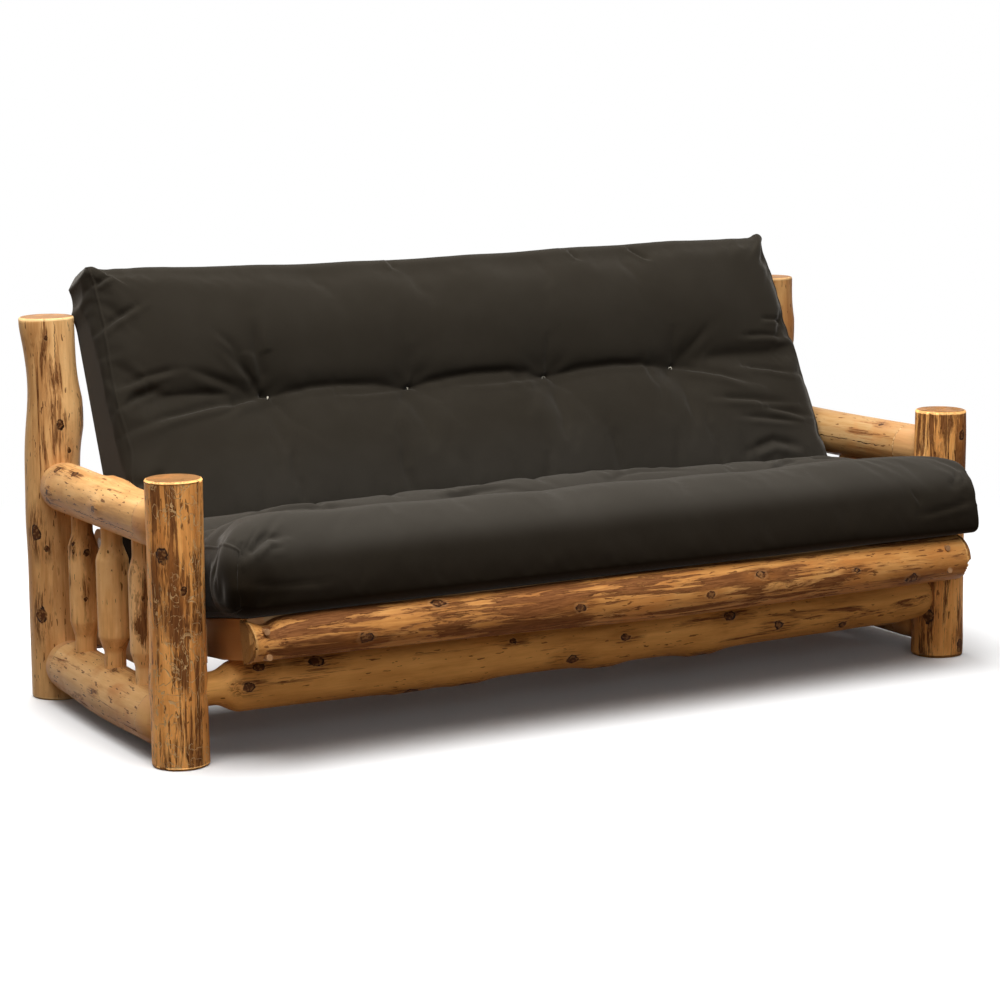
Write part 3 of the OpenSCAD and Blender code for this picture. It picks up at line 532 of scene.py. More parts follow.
# Knots: angle, place along the log, size, height. Swells: angle, place, width, length, height. In mm.
# gain scales a log's tones: partly its own tone, partly painted light and shade, brighter on logs the lamps
# reach less, such as the front stretcher under the mattress
logs = dict(
    front_post_left=dict(
        **post, tone="amber", seed=3, bark=0.62, warm=0.4, barkFaces=-114, patches=[(-0.05, 0.15, 0.72),
            (0.15, 0.27, 0.65), (0.27, 0.49, 1), (0.49, 0.64, 0.64)], gain=1.48, galleries=1, flecks=0.9,
        knots=[(-140, 465, 13, 2), (-99, 390, 7, 1), (60, 300, 12, 4), (150, 180, 10, 3)]),
    front_post_right=dict(
        **post, tone="amber", seed=8, bark=0.36, warm=0.2, gain=1.46, patches=[(-0.05, 0.3, 0.7),
            (0.3, 0.66, 1.05)], galleries=0.15, flecks=0.5, stripScale=40, swells=[(-39, 100, 50, 150, 5),
            (-39, 550, 50, 100, 3)], knots=[(-74, 562, 10, 2), (-146, 107, 14, 5), (-67, 28, 13, 3),
            (40, 350, 13, 4)]),
    rear_post_left=dict(
        **post, tone="honey", slot="pale_log", seed=12, bark=0.02, warm=0.1, gain=1.08, galleries=0.12,
        flecks=0.45, r=0.0655, knots=[(-28, 676, 14, 6), (-90, 656, 9, 1), (-73, 594, 6, 1),
            (-150, 401, 13, 2), (-127, 365, 6, 1), (-143, 206, 14, 4), (-113, 859, 5, 1),
            (70, 500, 14, 5)], swells=[(-162, 888, 30, 30, 8), (-36, 675, 35, 60, 7),
            (155, 740, 45, 80, -15), (-168, 430, 35, 50, 3)],
        cracks=[dict(angle=-98, span=(0.8, 0.904), width=0.0012)]),
    rear_post_right=dict(
        **post, tone="pale", seed=17, bark=0.3, warm=0.35, flecks=0.45, r=0.0655,
        knots=[(-120, 520, 13, 3), (-40, 760, 12, 5), (120, 610, 14, 5), (-150, 250, 12, 3)],
        swells=[(-40, 760, 35, 50, 3)]),
    upper_arm_rail_left=dict(
        **rail, tone="pale", seed=21, bark=0.22, warm=0.3, gain=1.08, flecks=0.6, r=0.058,
        tapers=railTapers(0.1, 0.105), knots=[(127, 302, 9, 2), (119, 209, 10, 2), (-179, 302, 7, 3),
            (-159, 308, 9, 2), (178, 12, 7, 4), (67, 55, 12, 6), (-30, 100, 12, 3)],
        swells=[(120, 290, 30, 50, 4), (95, 60, 30, 40, 3)],
        cracks=[dict(angle=-165, span=(-0.21, 0.16), width=0.0011)]),
    upper_arm_rail_right=dict(
        **rail, tone="pale", seed=26, bark=0.38, warm=0.3, gain=0.66, flecks=0.5, r=0.0575, end=0.82,
        tapers=railTapers(0.118, 0.105), knots=[(120, -107, 6, 1), (20, 150, 12, 4), (-60, 20, 11, 3)],
        cracks=[dict(angle=172, span=(-0.17, 0.3), width=0.0022)]),
    lower_arm_rail_left=dict(
        **rail, tone="pale", seed=31, bark=0.35, warm=0.5, flecks=0.7, r=0.0615,
        swells=[(-100, 80, 50, 140, 9)], tapers=railTapers(0.105, 0.1), knots=[(109, 244, 6, 1),
            (105, 32, 7, 1), (170, 52, 6, 1), (-142, 145, 6, 1)]),
    lower_arm_rail_right=dict(
        **rail, tone="amber", seed=36, bark=0.55, warm=0.5, flecks=0.6, r=0.0615,
        tapers=railTapers(0.105, 0.1), knots=[(100, 100, 10, 3), (10, -50, 12, 4), (-120, 220, 10, 2)]),
    front_stretcher=dict(
        axis="X", tone="shade", slot="amber_log", seed=41, bark=0.1, warm=0.1, gain=1.38, flecks=0.25,
        profile=frontStretcherProfile, rings=300, limit=flatTop, r=0.0575, swells=[(-95, 420, 50, 450, 8),
            (-95, -600, 50, 120, 4)], span=(-armX + frontR * 0.5, armX - frontR * 0.5),
        knots=[(132, -857, 10, 1), (135, -721, 14, 1), (174, -890, 10, 1), (-115, -486, 16, 7),
            (-112, -345, 14, 8), (148, -234, 7, 1), (-149, -78, 12, 2), (174, 61, 9, 1),
            (158, 358, 12, 1), (-167, 496, 11, 1), (-144, 694, 11, 2), (-108, 20, 12, 8),
            (-108, 295, 14, 10), (-108, 860, 10, 4)]),
    rear_stretcher=dict(
        axis="X", tone="amber", seed=46, bark=0.45, warm=0.4, flecks=0.5, profile=rearStretcherProfile,
        rings=240, limit=flatTop, r=0.0575, span=(-armX + rearR * 0.5, armX - rearR * 0.5),
        knots=[(-20, -600, 13, 4), (10, -100, 12, 3), (-40, 420, 14, 5), (170, 700, 12, 4),
            (-150, -350, 12, 3)]),
)

spindleLooks = dict(
    rear=dict(r=0.035, bark=0.75,
              knots=[(-151, 401, 6, 1), (-148, 380, 4, 0), (-96, 378, 7, 1), (-105, 270, 4, 0)]),
    middle=dict(r=0.0385, bark=0.32, knots=[(60, 310, 6, 1)]),
    front=dict(r=0.0355, bark=0.35, knots=[(-116, 336, 4.5, 0), (40, 260, 6, 1)]),
)
for side in ("left", "right"):
    for number, (part, look) in enumerate(spindleLooks.items()):
        logs[f"{side}_spindle_{part}"] = {
            "axis": "Z", "tone": "pale", "seed": 51 + number * 3 + 11 * (side == "right"),
            "warm": 0.25, "flecks": 0.3, "rings": 90, "sides": 56, "profile": spindleProfile,
            "rough": 0.0012, "gain": 1.3, **look}

for name, spec in logs.items():
    makeLog(name, spec)
print("logs made:", len(logs))

# Half log along the seat's front edge, lying in the seat deck's slope

seatTilt = math.radians(10)
backSlope = math.radians(66.4)
foldBolt = Vector((0, 0.17521, 0.177017))
seatWay = Vector((0, -math.cos(seatTilt), math.sin(seatTilt)))  # along the seat, to the front
seatUp = Vector((0, math.sin(seatTilt), math.cos(seatTilt)))
backWay = Vector((0, math.cos(backSlope), math.sin(backSlope)))  # along the back, to its top
backUp = Vector((0, -math.sin(backSlope), math.cos(backSlope)))
bolt, seatRun, seatRise, backRun, backRise = map(np.array, (foldBolt, seatWay, seatUp, backWay, backUp))

halfLog = dict(
    axis="X", tone="amber", body="seat_deck", seed=71, bark=1.2, gain=0.92,
    warm=0.45, flecks=0.7, rings=280, sides=96, stripScale=38, r=0.0558,
    centre=(0.63084, -0.0115), back=0.62697, sawn=True, lift=0.018, liftTo=0.2,
    patches=[(-0.9, -0.62, 1.2), (-0.62, -0.38, 0.72), (-0.4, -0.1, 0.95), (-0.1, 0.36, 0.64),
                (0.36, 0.62, 0.38), (0.62, 0.88, 0.22)],
    swells=[(100, -895, 60, 18, -13), (130, -760, 40, 50, 3)],
    knots=[(-178, -678, 13, 1), (175, -144, 10, 1), (-176, 204, 9, 1), (150, 350, 10, 2),
              (168, 622, 8, 1), (-152, 792, 13, 2), (118, -491, 12, 3)],
)


def trimHalfLog(spot):  # the log grows thinner to the left, and nothing of it passes its flat back
    below = (halfLog["middle"] - spot).dot(seatUp) / halfLog["r"]
    thinner = 1 - eased(halfLog["liftFrom"], halfLog["liftTo"], spot.x)
    spot = spot + seatUp * halfLog["lift"] * thinner * max(0, below)
    depth = (spot - foldBolt).dot(seatWay) - halfLog["back"]
    return spot - seatWay * depth if depth < 0 else spot


halfLog["liftFrom"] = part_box("front_half_log")[0].x
halfLog["middle"] = foldBolt + seatWay * halfLog["centre"][0] + seatUp * halfLog["centre"][1]
halfLog["after"] = trimHalfLog
makeLog("front_half_log", halfLog)
print("half log made")


# Boards of the decks and the panels inside the arms

def boardWood(name, slope, grain, seed, tones):
    look = Finish(name + " board", 0.45)
    flat = look.mapped(look.place, turn=(slope, 0, 0))
    shifted = look.mapped(flat, move=(seed * 0.31, seed * 0.47, seed * 0.19))
    long = look.mapped(shifted, stretch=along(grain, 0.05))
    rings = look.waves(long, 9, 7, 2, 1.6)
    streak = look.noise(long, 130, 4, 0.6)
    look.colour = look.blend(rings * 0.55 + streak * 0.35, tones["light"], tones["late"])
    knots = look.node("TexVoronoi", None, {
        "Vector": look.mapped(shifted, stretch=along(grain, 2.2, 5.5)), "Scale": 1})
    heart = knots.fade(0.045, 0.07)
    around = knots.fade(0.07, 0.16)
    look.paint(around * 0.5, tones["late"])
    look.paint(heart, logTones["knot"])
    shade = look.noise(shifted, 3, 2)
    look.paint(shade * 0.25, tones["deep"])
    return look.dress(0.38 + streak * 0.18,
                      look.bump(streak * 0.5 + rings * 0.3, 0.0006, 0.6))


boardTones = dict(light=(0.58, 0.345, 0.145), late=(0.42, 0.21, 0.072), deep=(0.33, 0.155, 0.052))
edgeTones = dict(light=(0.64, 0.3, 0.095), late=(0.46, 0.19, 0.05), deep=(0.34, 0.13, 0.032))

slopes = dict(seat=seatTilt, back=-backSlope, guide_panel=0)
boards = [  # deck, axis of the grain, and the pieces in the order of their seeds
    ("seat", 1, "side_rail_left side_rail_right"), ("seat", 0, "front_rail rear_rail"),
    ("seat", 1, "cross_rail_left cross_rail_right cleats"), ("seat", 0, "slat_1 slat_2 slat_3 slat_4"),
    ("back", 1, "side_rail_left side_rail_right"), ("back", 0, "bottom_rail top_rail"),
    ("back", 1, "cross_rail_left cross_rail_right cleats"),
    ("back", 0, "slat_1 slat_2 slat_3 slat_4 slat_5"), ("guide_panel", 1, "left right"),
]
planks = [(deck, f"{deck}_{part}", grain) for deck, grain, parts in boards for part in parts.split()]
for seed, (deck, name, grain) in enumerate(planks, 1):
    tones = edgeTones if name.startswith("seat_side") else boardTones
    cover(nodes[name], boardWood(name, slopes[deck], grain, seed, tones))


# Steel, nylon and plugs

def zincSteel():
    look = Finish("zinc plated steel", 0.32)
    brushed = look.noise(look.place, 900, 2, 0.5)
    cloud = look.noise(look.place, 60, 3, 0.6)
    look.colour = look.blend(cloud.ease(0.4, 0.65), (0.5, 0.51, 0.52), (0.64, 0.64, 0.62))
    look.level("Metallic", 1)
    return look.dress(0.24 + brushed * 0.14 + cloud * 0.1,
                      look.bump(brushed, 0.0002, 0.5))


def turnedNylon():
    look = Finish("natural nylon", 0.4)
    lathe = look.noise(look.mapped(look.place, stretch=(8, 1, 1)), 160, 2, 0.5)
    look.colour = look.blend(lathe, (0.7, 0.68, 0.6), (0.8, 0.78, 0.72))
    return look.dress(0.34 + lathe * 0.12, look.bump(lathe, 0.0002, 0.5))


def plugWood():
    look = Finish("plug end grain", 0.5)
    pores = look.noise(look.place, 900, 2, 0.6)
    cloud = look.noise(look.place, 90, 3, 0.55)
    look.colour = look.blend(cloud.ease(0.35, 0.65), (0.4, 0.21, 0.085), (0.27, 0.125, 0.042))
    look.paint(pores.ease(0.55, 0.68) * 0.5, (0.12, 0.05, 0.018))
    return look.dress(0.42 + pores * 0.2, look.bump(pores, 0.0004, 0.6))


finishes = dict(zinc_steel=zincSteel(), nylon=turnedNylon(), plug_wood=plugWood())
for entry in frame["record"]["subparts"]:
    if entry["material_slot"] in finishes:
        cover(nodes[entry["node"]], finishes[entry["material_slot"]])
print("boards and hardware finished")


# The mattress: one closed form that follows the folded decks. Its places are counted as x along the
# sofa, q from the front roll to the crest, and w up from the deck.

mattress = dict(
    width=1.905, half=0.974, seatLength=0.614, length=1.384, top=0.132, thick=0.2,
    foldZ=0.1048, deckZ=0.0452, seatFar=0.69647, backFar=0.84047,
    columns=184, rows=136, layers=12,
    sideEdge=0.014, softEdge=0.085, rollTop=0.092, rollFoot=0.052, crestFront=0.026, crestRear=0.022,
    creaseDrop=0.046, creaseReach=0.017, footCorner=0.045,
    tuftX=(-0.5715, -0.1905, 0.1905, 0.5715), tuftRows=(0.343, 1.029), tuftDepth=0.034,
    rowDepth=0.017, rowArc=0.018, slack=0.01, pressure=4, frames=20, cap=0.02,
    shrink=-0.015, proud=0.9585, cornerProud=0.997, postGap=0.0645, seam=0.0022, fill=0.8,
    crestProud=0.966, bedPostAt=0.806, bedPostGap=0.0705,  # the rear posts beside the bed
)
soft = SimpleNamespace(**mattress)
lean = math.tan((seatTilt + backSlope) / 2)
foldIn = soft.foldZ * lean
creaseIn = foldIn + (soft.deckZ + soft.thick - soft.creaseDrop - soft.foldZ) * lean
footIn = foldIn - soft.footCorner * lean


def rowArc(x):
    near = np.min([np.abs(x - column) for column in soft.tuftX], axis=0)
    pitch = soft.tuftX[1] - soft.tuftX[0]
    return near, soft.rowArc * np.sin(np.pi * np.clip(near / pitch, 0, 0.5))


def tuftDip(x, q):
    near, arc = rowArc(x)
    seatRow, backRow = soft.tuftRows
    ends = 1 - 0.8 * eased(0.7, 0.95, np.abs(x))
    dip = ends * (0.026 + 0.016 * bells(near, 0.06)) * np.exp(-np.abs((q - seatRow) / 0.055) ** 1.1)
    above, below = np.maximum(q - backRow - arc, 0), np.maximum(backRow + arc - q, 0)
    dip += ends * soft.rowDepth * np.exp(-(above / 0.052) ** 0.85 - (below / 0.034) ** 1.1)
    dip += 0.5 * soft.tuftDepth * bells(near, 0.045) * np.exp(-(above / 0.12) ** 1.3 - (below / 0.05) ** 1.1)
    for row in soft.tuftRows:
        dip += 0.4 * soft.tuftDepth * np.exp(-np.hypot(near, q - row) / 0.018)
    return dip


def depthOf(x, q):
    onSeat = q < soft.seatLength
    v = foldIn + q - soft.seatLength
    deep = np.where(onSeat, soft.thick,
                    soft.thick + (soft.top - soft.thick) * v / soft.backFar)
    roll = (0.016 * bells(x + 0.84, 0.1) + 0.006 * bells(x + 0.35, 0.18) - 0.003) * bells(q - 0.13, 0.07)
    lump = (0.05 - 0.03 * x * x) * bells(q - 0.47, 0.055)
    puffs = 0.022 * bells(q - 1.2, 0.08) + 0.018 * bells(q - 0.87, 0.095)
    middle = 1 - eased(0.62, 0.95, np.abs(x))
    deep = deep + np.where(onSeat, roll + lump, puffs * (0.25 + 0.75 * middle))
    sway = 0.004 * np.sin(x * 9.3 + 0.7) + 0.003 * np.sin(x * 21 + q * 5)
    deep += sway * np.where(onSeat, 0.6, 1) * (0.3 + 0.7 * middle)
    full = 1 - np.where(onSeat, 0.05, 0.01) * (np.abs(x) / soft.half) ** 12
    toFold = np.abs(q - soft.seatLength)
    return (deep - tuftDip(x, q)) * full - soft.creaseDrop * np.exp(-toFold / soft.creaseReach)


def rounded(x, q, w, deep, half):  # rounds every edge of the blank, the front roll most
    long = soft.length
    rollFoot = soft.rollFoot + 0.012 * (1 - eased(-0.2, 0.4, x)) - 0.022 * eased(0.5, 0.95, x)
    foot = np.where(q < long / 2, rollFoot, soft.crestRear)
    head = np.where(q < long / 2, soft.rollTop, soft.crestFront)
    high = w > deep * foot / (foot + head)
    radius = np.minimum(np.where(high, head, foot), deep * 0.5)
    puffy = (x < 0) * np.maximum(1 - eased(0.15, 0.4, q), 0.45 * high * (q > 0.7))
    side = np.minimum(soft.sideEdge + (soft.softEdge - soft.sideEdge) * puffy, radius * 0.9)
    q0 = np.clip(q, radius, long - radius)
    w0 = np.where(high, np.minimum(w, deep - radius), np.maximum(w, radius))
    away = np.hypot(q - q0, w - w0)
    pull = np.minimum(1, (radius - side) / np.maximum(away, 1e-6))
    q1, w1 = q0 + (q - q0) * pull, w0 + (w - w0) * pull
    x1 = np.clip(x, side - half, half - side)
    gap = np.sqrt((x - x1) ** 2 + (q - q1) ** 2 + (w - w1) ** 2)
    push = np.minimum(1, side / np.maximum(gap, 1e-6))
    return x1 + (x - x1) * push, q1 + (q - q1) * push, w1 + (w - w1) * push


def onDecks(x, q, w, deep):  # folds the straight pad over the seat and the back
    high = np.clip(w / deep, 0, 1.3)[:, None]
    onSeat = q < soft.seatLength
    near = np.where(onSeat, eased(0.3, soft.seatLength, q),
                    1 - eased(soft.seatLength, 0.93, q))
    far = np.where(onSeat, soft.seatFar - q, foldIn + q - soft.seatLength)
    low, top = far - (foldIn - footIn) * near, far + (creaseIn - foldIn) * near
    run = low + (top - low) * high[:, 0]
    lift = 0.015 * bells(q - soft.seatLength, 0.03) * (1 - high[:, 0])
    rise = soft.deckZ + w + lift
    way = np.where(onSeat[:, None], seatRun, backRun)
    up = np.where(onSeat[:, None], seatRise, backRise)
    return bolt + way * run[:, None] + up * rise[:, None] + x[:, None] * np.array([1, 0, 0])


def deckPlaces(spots):  # run along each deck and height over it, for seat and back
    fromBolt = spots - bolt
    return (fromBolt @ seatRun, fromBolt @ seatRise,
            fromBolt @ backRun, fromBolt @ backRise)


def keepClear(spots):  # narrow between the arms; in front of the posts and at the crest it swells out
    u, w, v, h = deckPlaces(spots)
    onSeat = u > v
    free = np.where(onSeat, eased(0.545, 0.575, u), eased(0.725, 0.79, v))
    wide = np.where(onSeat, soft.cornerProud, soft.crestProud)
    most = soft.proud + (wide - soft.proud) * free
    most -= ~onSeat * np.where(spots[:, 0] < 0, 0.7, 0.4) * np.clip(v - 0.825, 0, None)
    beside = np.clip(soft.bedPostGap ** 2 - (v - soft.bedPostAt) ** 2, 0, None)
    most = np.where(~onSeat & (beside > 0), np.minimum(most, armX - np.sqrt(beside)), most)
    inside = np.clip(soft.postGap ** 2 - (spots[:, 1] - frontPostY) ** 2, 0, None)
    most = np.where(onSeat & (inside > 0), np.minimum(most, armX - np.sqrt(inside)), most)
    spots[:, 0] = np.clip(spots[:, 0], -most, most)
    seatUnder = onSeat & (w < soft.deckZ) & (u > footIn)
    spots[seatUnder] += (soft.deckZ - w[seatUnder])[:, None] * seatRise
    backUnder = ~onSeat & (h < soft.deckZ) & (v > footIn)
    spots[backUnder] += (soft.deckZ - h[backUnder])[:, None] * backRise
    return spots


def swellEnds(spots):  # past the arms the front corners bulge, and the crest's left corner has an ear
    u, w, v, h = deckPlaces(spots)
    x = spots[:, 0]
    front = (u > v) * eased(0.545, 0.62, u)
    spots[:, 0] += front * (0.046 * eased(0.84, 0.95, x) - 0.01 * eased(0.84, 0.95, -x))
    ear = (v > u) * bells(v - 0.805, 0.028) * bells(h - 0.055, 0.038)
    spots[:, 0] -= 0.006 * ear * eased(0.88, 0.955, -x)
    share = (v > u) * eased(0.25, 0.4, v) * np.clip((h - 0.1) / 0.115, 0, 1)  # the back's left edge is round
    spots[:, 0] += 0.05 * (1 - np.sqrt(1 - share ** 2)) * eased(0.78, 0.955, -x)
    return spots


def readRows(source, name, width=3):
    values = np.empty(len(source) * width)
    source.foreach_get(name, values)
    return values.reshape(-1, width)


def readSpots(data):
    return readRows(data.vertices, "co")


def writeSpots(data, spots):
    data.vertices.foreach_set("co", np.ascontiguousarray(spots, dtype=np.float32).ravel())
    data.update()


def mattressBlank():
    blank = bmesh.new()
    bmesh.ops.create_cube(blank, size=1)
    for axis, cuts in ((0, soft.columns), (1, soft.rows), (2, soft.layers)):
        runs = [edge for edge in blank.edges
                if abs(edge.verts[0].co[axis] - edge.verts[1].co[axis]) > 0.9]
        bmesh.ops.subdivide_edges(blank, edges=runs, cuts=cuts, use_grid_fill=True)
    for vertex in blank.verts:  # rows stand closer together near the edges
        vertex.co = [1.25 * t - t ** 3 for t in vertex.co]
    weave = blank.loops.layers.uv.new("weave")
    for face in blank.faces:
        side = max(range(3), key=lambda k: abs(face.normal[k]))
        for loop in face.loops:
            x, q, w = (loop.vert.co[k] * size for k, size in
                       enumerate((soft.width, soft.length, soft.thick)))
            loop[weave].uv = ((q, w), (x, w), (x, q))[side]
    seam = blank.verts.layers.float.new("seam")
    for vertex in blank.verts:
        x, q, w = (abs(t) for t in vertex.co)
        vertex[seam] = float(x > 0.499 and (w > 0.499 or q > 0.499))
    return blank


# Folds pressed into the cover, in mm: a line's places as x and run along the back, then its depth and width
backFolds = [
    (-585, 512, -695, 545, -790, 583, 7.5, 10), (-590, 520, -646, 580, -690, 634, 6.7, 9),
    (-600, 535, -655, 625, -700, 672, 5.3, 10), (-575, 525, -590, 598, -586, 690, 7.5, 13),
    (-585, 505, -708, 488, -844, 463, -950, 430, 11.2, 10), (-585, 500, -660, 482, -716, 448, 6, 10),
    (-590, 508, -723, 517, -820, 518, 4.8, 9), (-560, 490, -530, 420, -470, 350, 1.6, 16),
    (-860, 737, -920, 709, -955, 680, 6.7, 8), (-800, 575, -880, 563, -945, 540, 6.7, 8),
    (-850, 535, -900, 520, -950, 490, 6.7, 8), (-900, 822, -945, 800, 6, 7), (-870, 330, -950, 300, 6, 10),
    (590, 503, 690, 465, 803, 417, 8.3, 11), (650, 397, 760, 384, 900, 362, 7.2, 9),
    (780, 362, 857, 345, 940, 322, 7.2, 8), (790, 563, 862, 562, 945, 552, 6.7, 7),
    (770, 482, 846, 470, 940, 445, 7.2, 8), (710, 338, 774, 330, 900, 312, 5.3, 8),
    (710, 249, 786, 268, 900, 240, 9, 12), (850, 606, 940, 600, 5.3, 6), (345, 838, 362, 800, 5.3, 6),
    (525, 838, 570, 785, 6.7, 6), (-170, 838, -160, 800, 4.5, 7),
    (-190, 495, -250, 440, -290, 380, 1.9, 14), (-190, 500, -130, 445, -110, 380, 1.6, 14),
    (190, 498, 130, 450, 95, 395, 1.8, 14), (190, 498, 240, 440, 265, 360, 1.6, 14),
    (571, 495, 500, 440, 470, 370, 1.9, 13), (-190, 512, -180, 590, 1.6, 13), (190, 512, 200, 600, 1.6, 13),
    (571, 512, 580, 600, 1.8, 13), (-565, 500, -470, 513, -380, 516, -290, 512, -200, 500, 3.7, 8),
    (-205, 498, -120, 512, -20, 522, 90, 519, 185, 501, 3.7, 8),
    (195, 500, 290, 513, 390, 518, 480, 511, 565, 500, 3.7, 8),
    (-205, 496, -260, 490, -330, 486, -400, 485, 2.8, 7), (180, 497, 110, 490, 40, 486, -60, 484, 2.8, 7),
]
# The same on the front roll: x and height over the deck
rollFolds = [
    (-930, 178, -895, 202, -868, 212, -825, 205, 12, 8), (-885, 186, -835, 190, 4, 6),
    (-950, 120, -871, 110, -783, 104, -700, 108, 4, 5), (990, 124, 943, 116, 854, 104, 800, 100, 7, 6),
    (935, 150, 985, 178, 5, 6), (812, 166, 835, 128, 4, 5), (975, 195, 930, 158, 5, 7),
]
# And on the seat behind the front roll: x and run along the seat
seatFolds = [
    (-270, 310, -180, 295, -100, 305, -40, 330, 7, 7), (-740, 300, -660, 290, -580, 295, -480, 310, 6, 6),
    (660, 330, 720, 300, 780, 285, 7, 7), (800, 290, 880, 300, 5, 6), (200, 300, 320, 290, 450, 300, 5, 7),
]


def alongFold(flat, line):  # distance to a drawn line, the way to it, its side, and the share run along it
    near = np.full(len(flat), 9.0)
    apart, sideways, place = np.zeros_like(flat), np.zeros(len(flat)), np.zeros(len(flat))
    lengths = np.linalg.norm(line[1:] - line[:-1], axis=1)
    run = 0
    for a, b, length in zip(line, line[1:], lengths):
        way = (b - a) / length
        share = np.clip((flat - a) @ way, 0, length)
        here = flat - a - share[:, None] * way
        gap = np.hypot(here[:, 0], here[:, 1])
        closer = gap < near
        near[closer], apart[closer] = gap[closer], here[closer]
        sideways[closer] = (here[closer] @ np.array([-way[1], way[0]])) * (np.sign(way[0]) or 1)
        place[closer] = (run + share[closer]) / lengths.sum()
        run += length
    return near, apart, sideways, place


def pressFolds(spots, normals, mask, upward, folds):  # a valley with a ridge on its upper side
    plane = np.array([(1, 0, 0), upward])
    flat = (spots - bolt) @ plane.T
    for *line, depth, width in folds:
        line, depth, width = np.array(line).reshape(-1, 2) / 1000, depth / 1000, width / 1000
        low, high = line.min(axis=0) - 5 * width, line.max(axis=0) + 5 * width
        close = np.nonzero(mask & np.all((flat > low) & (flat < high), axis=1))[0]
        near, apart, sideways, place = alongFold(flat[close], line)
        pinch = -0.5 * apart * np.exp(-(near / (1.6 * width)) ** 2)[:, None]
        flat[close] += pinch
        near, apart, sideways, place = alongFold(flat[close], line)
        fade = np.clip(place / 0.15, 0.35, 1) * (1 - eased(0.55, 1, place)) if len(line) > 2 else \
            eased(0, 0.3, place) * (1 - eased(0.7, 1, place))
        valley = np.exp(-(near / width) ** 2)
        ridge = np.exp(-((sideways + 1.7 * width) / (1.1 * width)) ** 2) * (near < 4 * width)
        spots[close] += pinch @ plane + normals[close] * (depth * fade * (0.6 * ridge - valley))[:, None]


def makeMattress():
    pad = addPiece("mattress", mattressBlank())
    data = pad.data
    cube = readSpots(data)
    half = soft.half - 0.8 * soft.slack
    x, q = cube[:, 0] * 2 * half, (cube[:, 1] + 0.5) * soft.length
    deep = depthOf(x, q) - soft.slack
    w = (cube[:, 2] + 0.5) * deep
    x, q, w = rounded(x, q, w, deep, half)
    q += 0.008 * (1 - (x / half) ** 4) * (1 - eased(0, 0.25, q))
    q += (0.006 + 0.012 * eased(0, 0.5, x) + 0.008 * eased(0.55, 0.8, -x)) * eased(1.05, 1.384, q)
    writeSpots(data, onDecks(x, q, w, depthOf(x, q) - soft.slack))
    data.polygons.foreach_set("use_smooth", [True] * len(data.polygons))
    inflate(pad, cube)
    writeSpots(data, keepClear(swellEnds(readSpots(data))))
    smoother = pad.modifiers.new("finer", "SUBSURF")
    smoother.levels = smoother.render_levels = 1
    fine = bpy.data.meshes.new_from_object(evaluated(pad))
    pad.modifiers.clear()
    pad.data = fine
    spots = readSpots(fine)
    normals = readRows(fine.vertex_normals, "vector")
    seam = readRows(fine.attributes["seam"].data, "value", 1)
    spots += normals * (soft.seam * np.clip(seam * 1.6, 0, 1))
    u, w, v, h = deckPlaces(spots)
    faceBack = (normals @ backRise > 0.2) & (h > 0.09) & (v > u)
    pressFolds(spots, normals, faceBack, backWay, backFolds)
    faceFront = (normals @ seatRun > -0.1) & (u > 0.55)
    pressFolds(spots, normals, faceFront, seatUp, rollFolds)
    faceUp = (normals @ seatRise > 0.2) & (w > 0.15) & (u > v)
    pressFolds(spots, normals, faceUp, seatWay, seatFolds)
    writeSpots(fine, keepClear(spots))
    return pad


def inflate(pad, cube):
    before = readSpots(pad.data)
    q = (cube[:, 1] + 0.5) * soft.length
    x = cube[:, 0] * soft.width
    top = cube[:, 2] > 0.49
    near, arc = rowArc(x)
    gap = np.min([np.hypot(near, q - row) for row in soft.tuftRows], axis=0)
    grip = 1 - eased(-0.5, -0.36, cube[:, 2])
    grip = np.maximum(grip, top * (1 - eased(0.01, 0.03, gap)))
    for row, curve in zip(soft.tuftRows, (0 * arc, arc)):
        grip = np.maximum(grip, 0.5 * top * (1 - eased(0.006, 0.02, np.abs(q - row - curve))))
    grip = np.maximum(grip, (1 - eased(0.012, 0.035, np.abs(q - soft.seatLength))))
    held = pad.vertex_groups.new(name="held")
    for index, weight in enumerate(grip):
        if weight > 0.001:
            held.add([index], float(weight), "REPLACE")
    filling = pad.modifiers.new("filling", "CLOTH")
    for name, value in {"quality": 5, "use_pressure": True, "uniform_pressure_force": soft.pressure,
                        "shrink_min": soft.shrink, "bending_stiffness": 0.3,
                        "vertex_group_mass": "held"}.items():
        setattr(filling.settings, name, value)
    filling.settings.effector_weights.gravity = 0
    filling.point_cache.frame_start = 1
    filling.point_cache.frame_end = soft.frames
    for number in range(1, soft.frames + 1):
        scene.frame_set(number)
    swollen = evaluated(pad).to_mesh()
    after = readSpots(swollen)
    evaluated(pad).to_mesh_clear()
    pad.modifiers.remove(filling)
    pad.vertex_groups.clear()
    scene.frame_set(1)
    step = after - before
    reach = np.linalg.norm(step, axis=1)
    print("filling moved the cover by up to", round(float(reach.max()) * 1000, 1), "mm, mean",
          round(float(reach.mean()) * 1000, 1))
    limited = soft.cap * np.tanh(reach / soft.cap)
    writeSpots(pad.data, before + step * (limited / np.maximum(reach, 1e-9))[:, None])


pad = makeMattress()


cotton = dict(  # tones, how far the parts of the cover take them, and the sheen; top is a painted highlight, low, crease and left are painted shade
    dark=(0.0165, 0.0135, 0.0097), light=(0.031, 0.026, 0.0195), lint=((0.035, 0.03, 0.0235), 0.2),
    top=((0.056, 0.05, 0.042), 0.53), low=((0.0085, 0.0047, 0.0018), 0.66),
    crease=((0.0085, 0.0066, 0.0045), 0.75), left=((0.007, 0.0042, 0.0018), 0.75),
    sheen=dict(Weight=0.22, Roughness=0.36, Tint=(1, 0.95, 0.87, 1)),
)


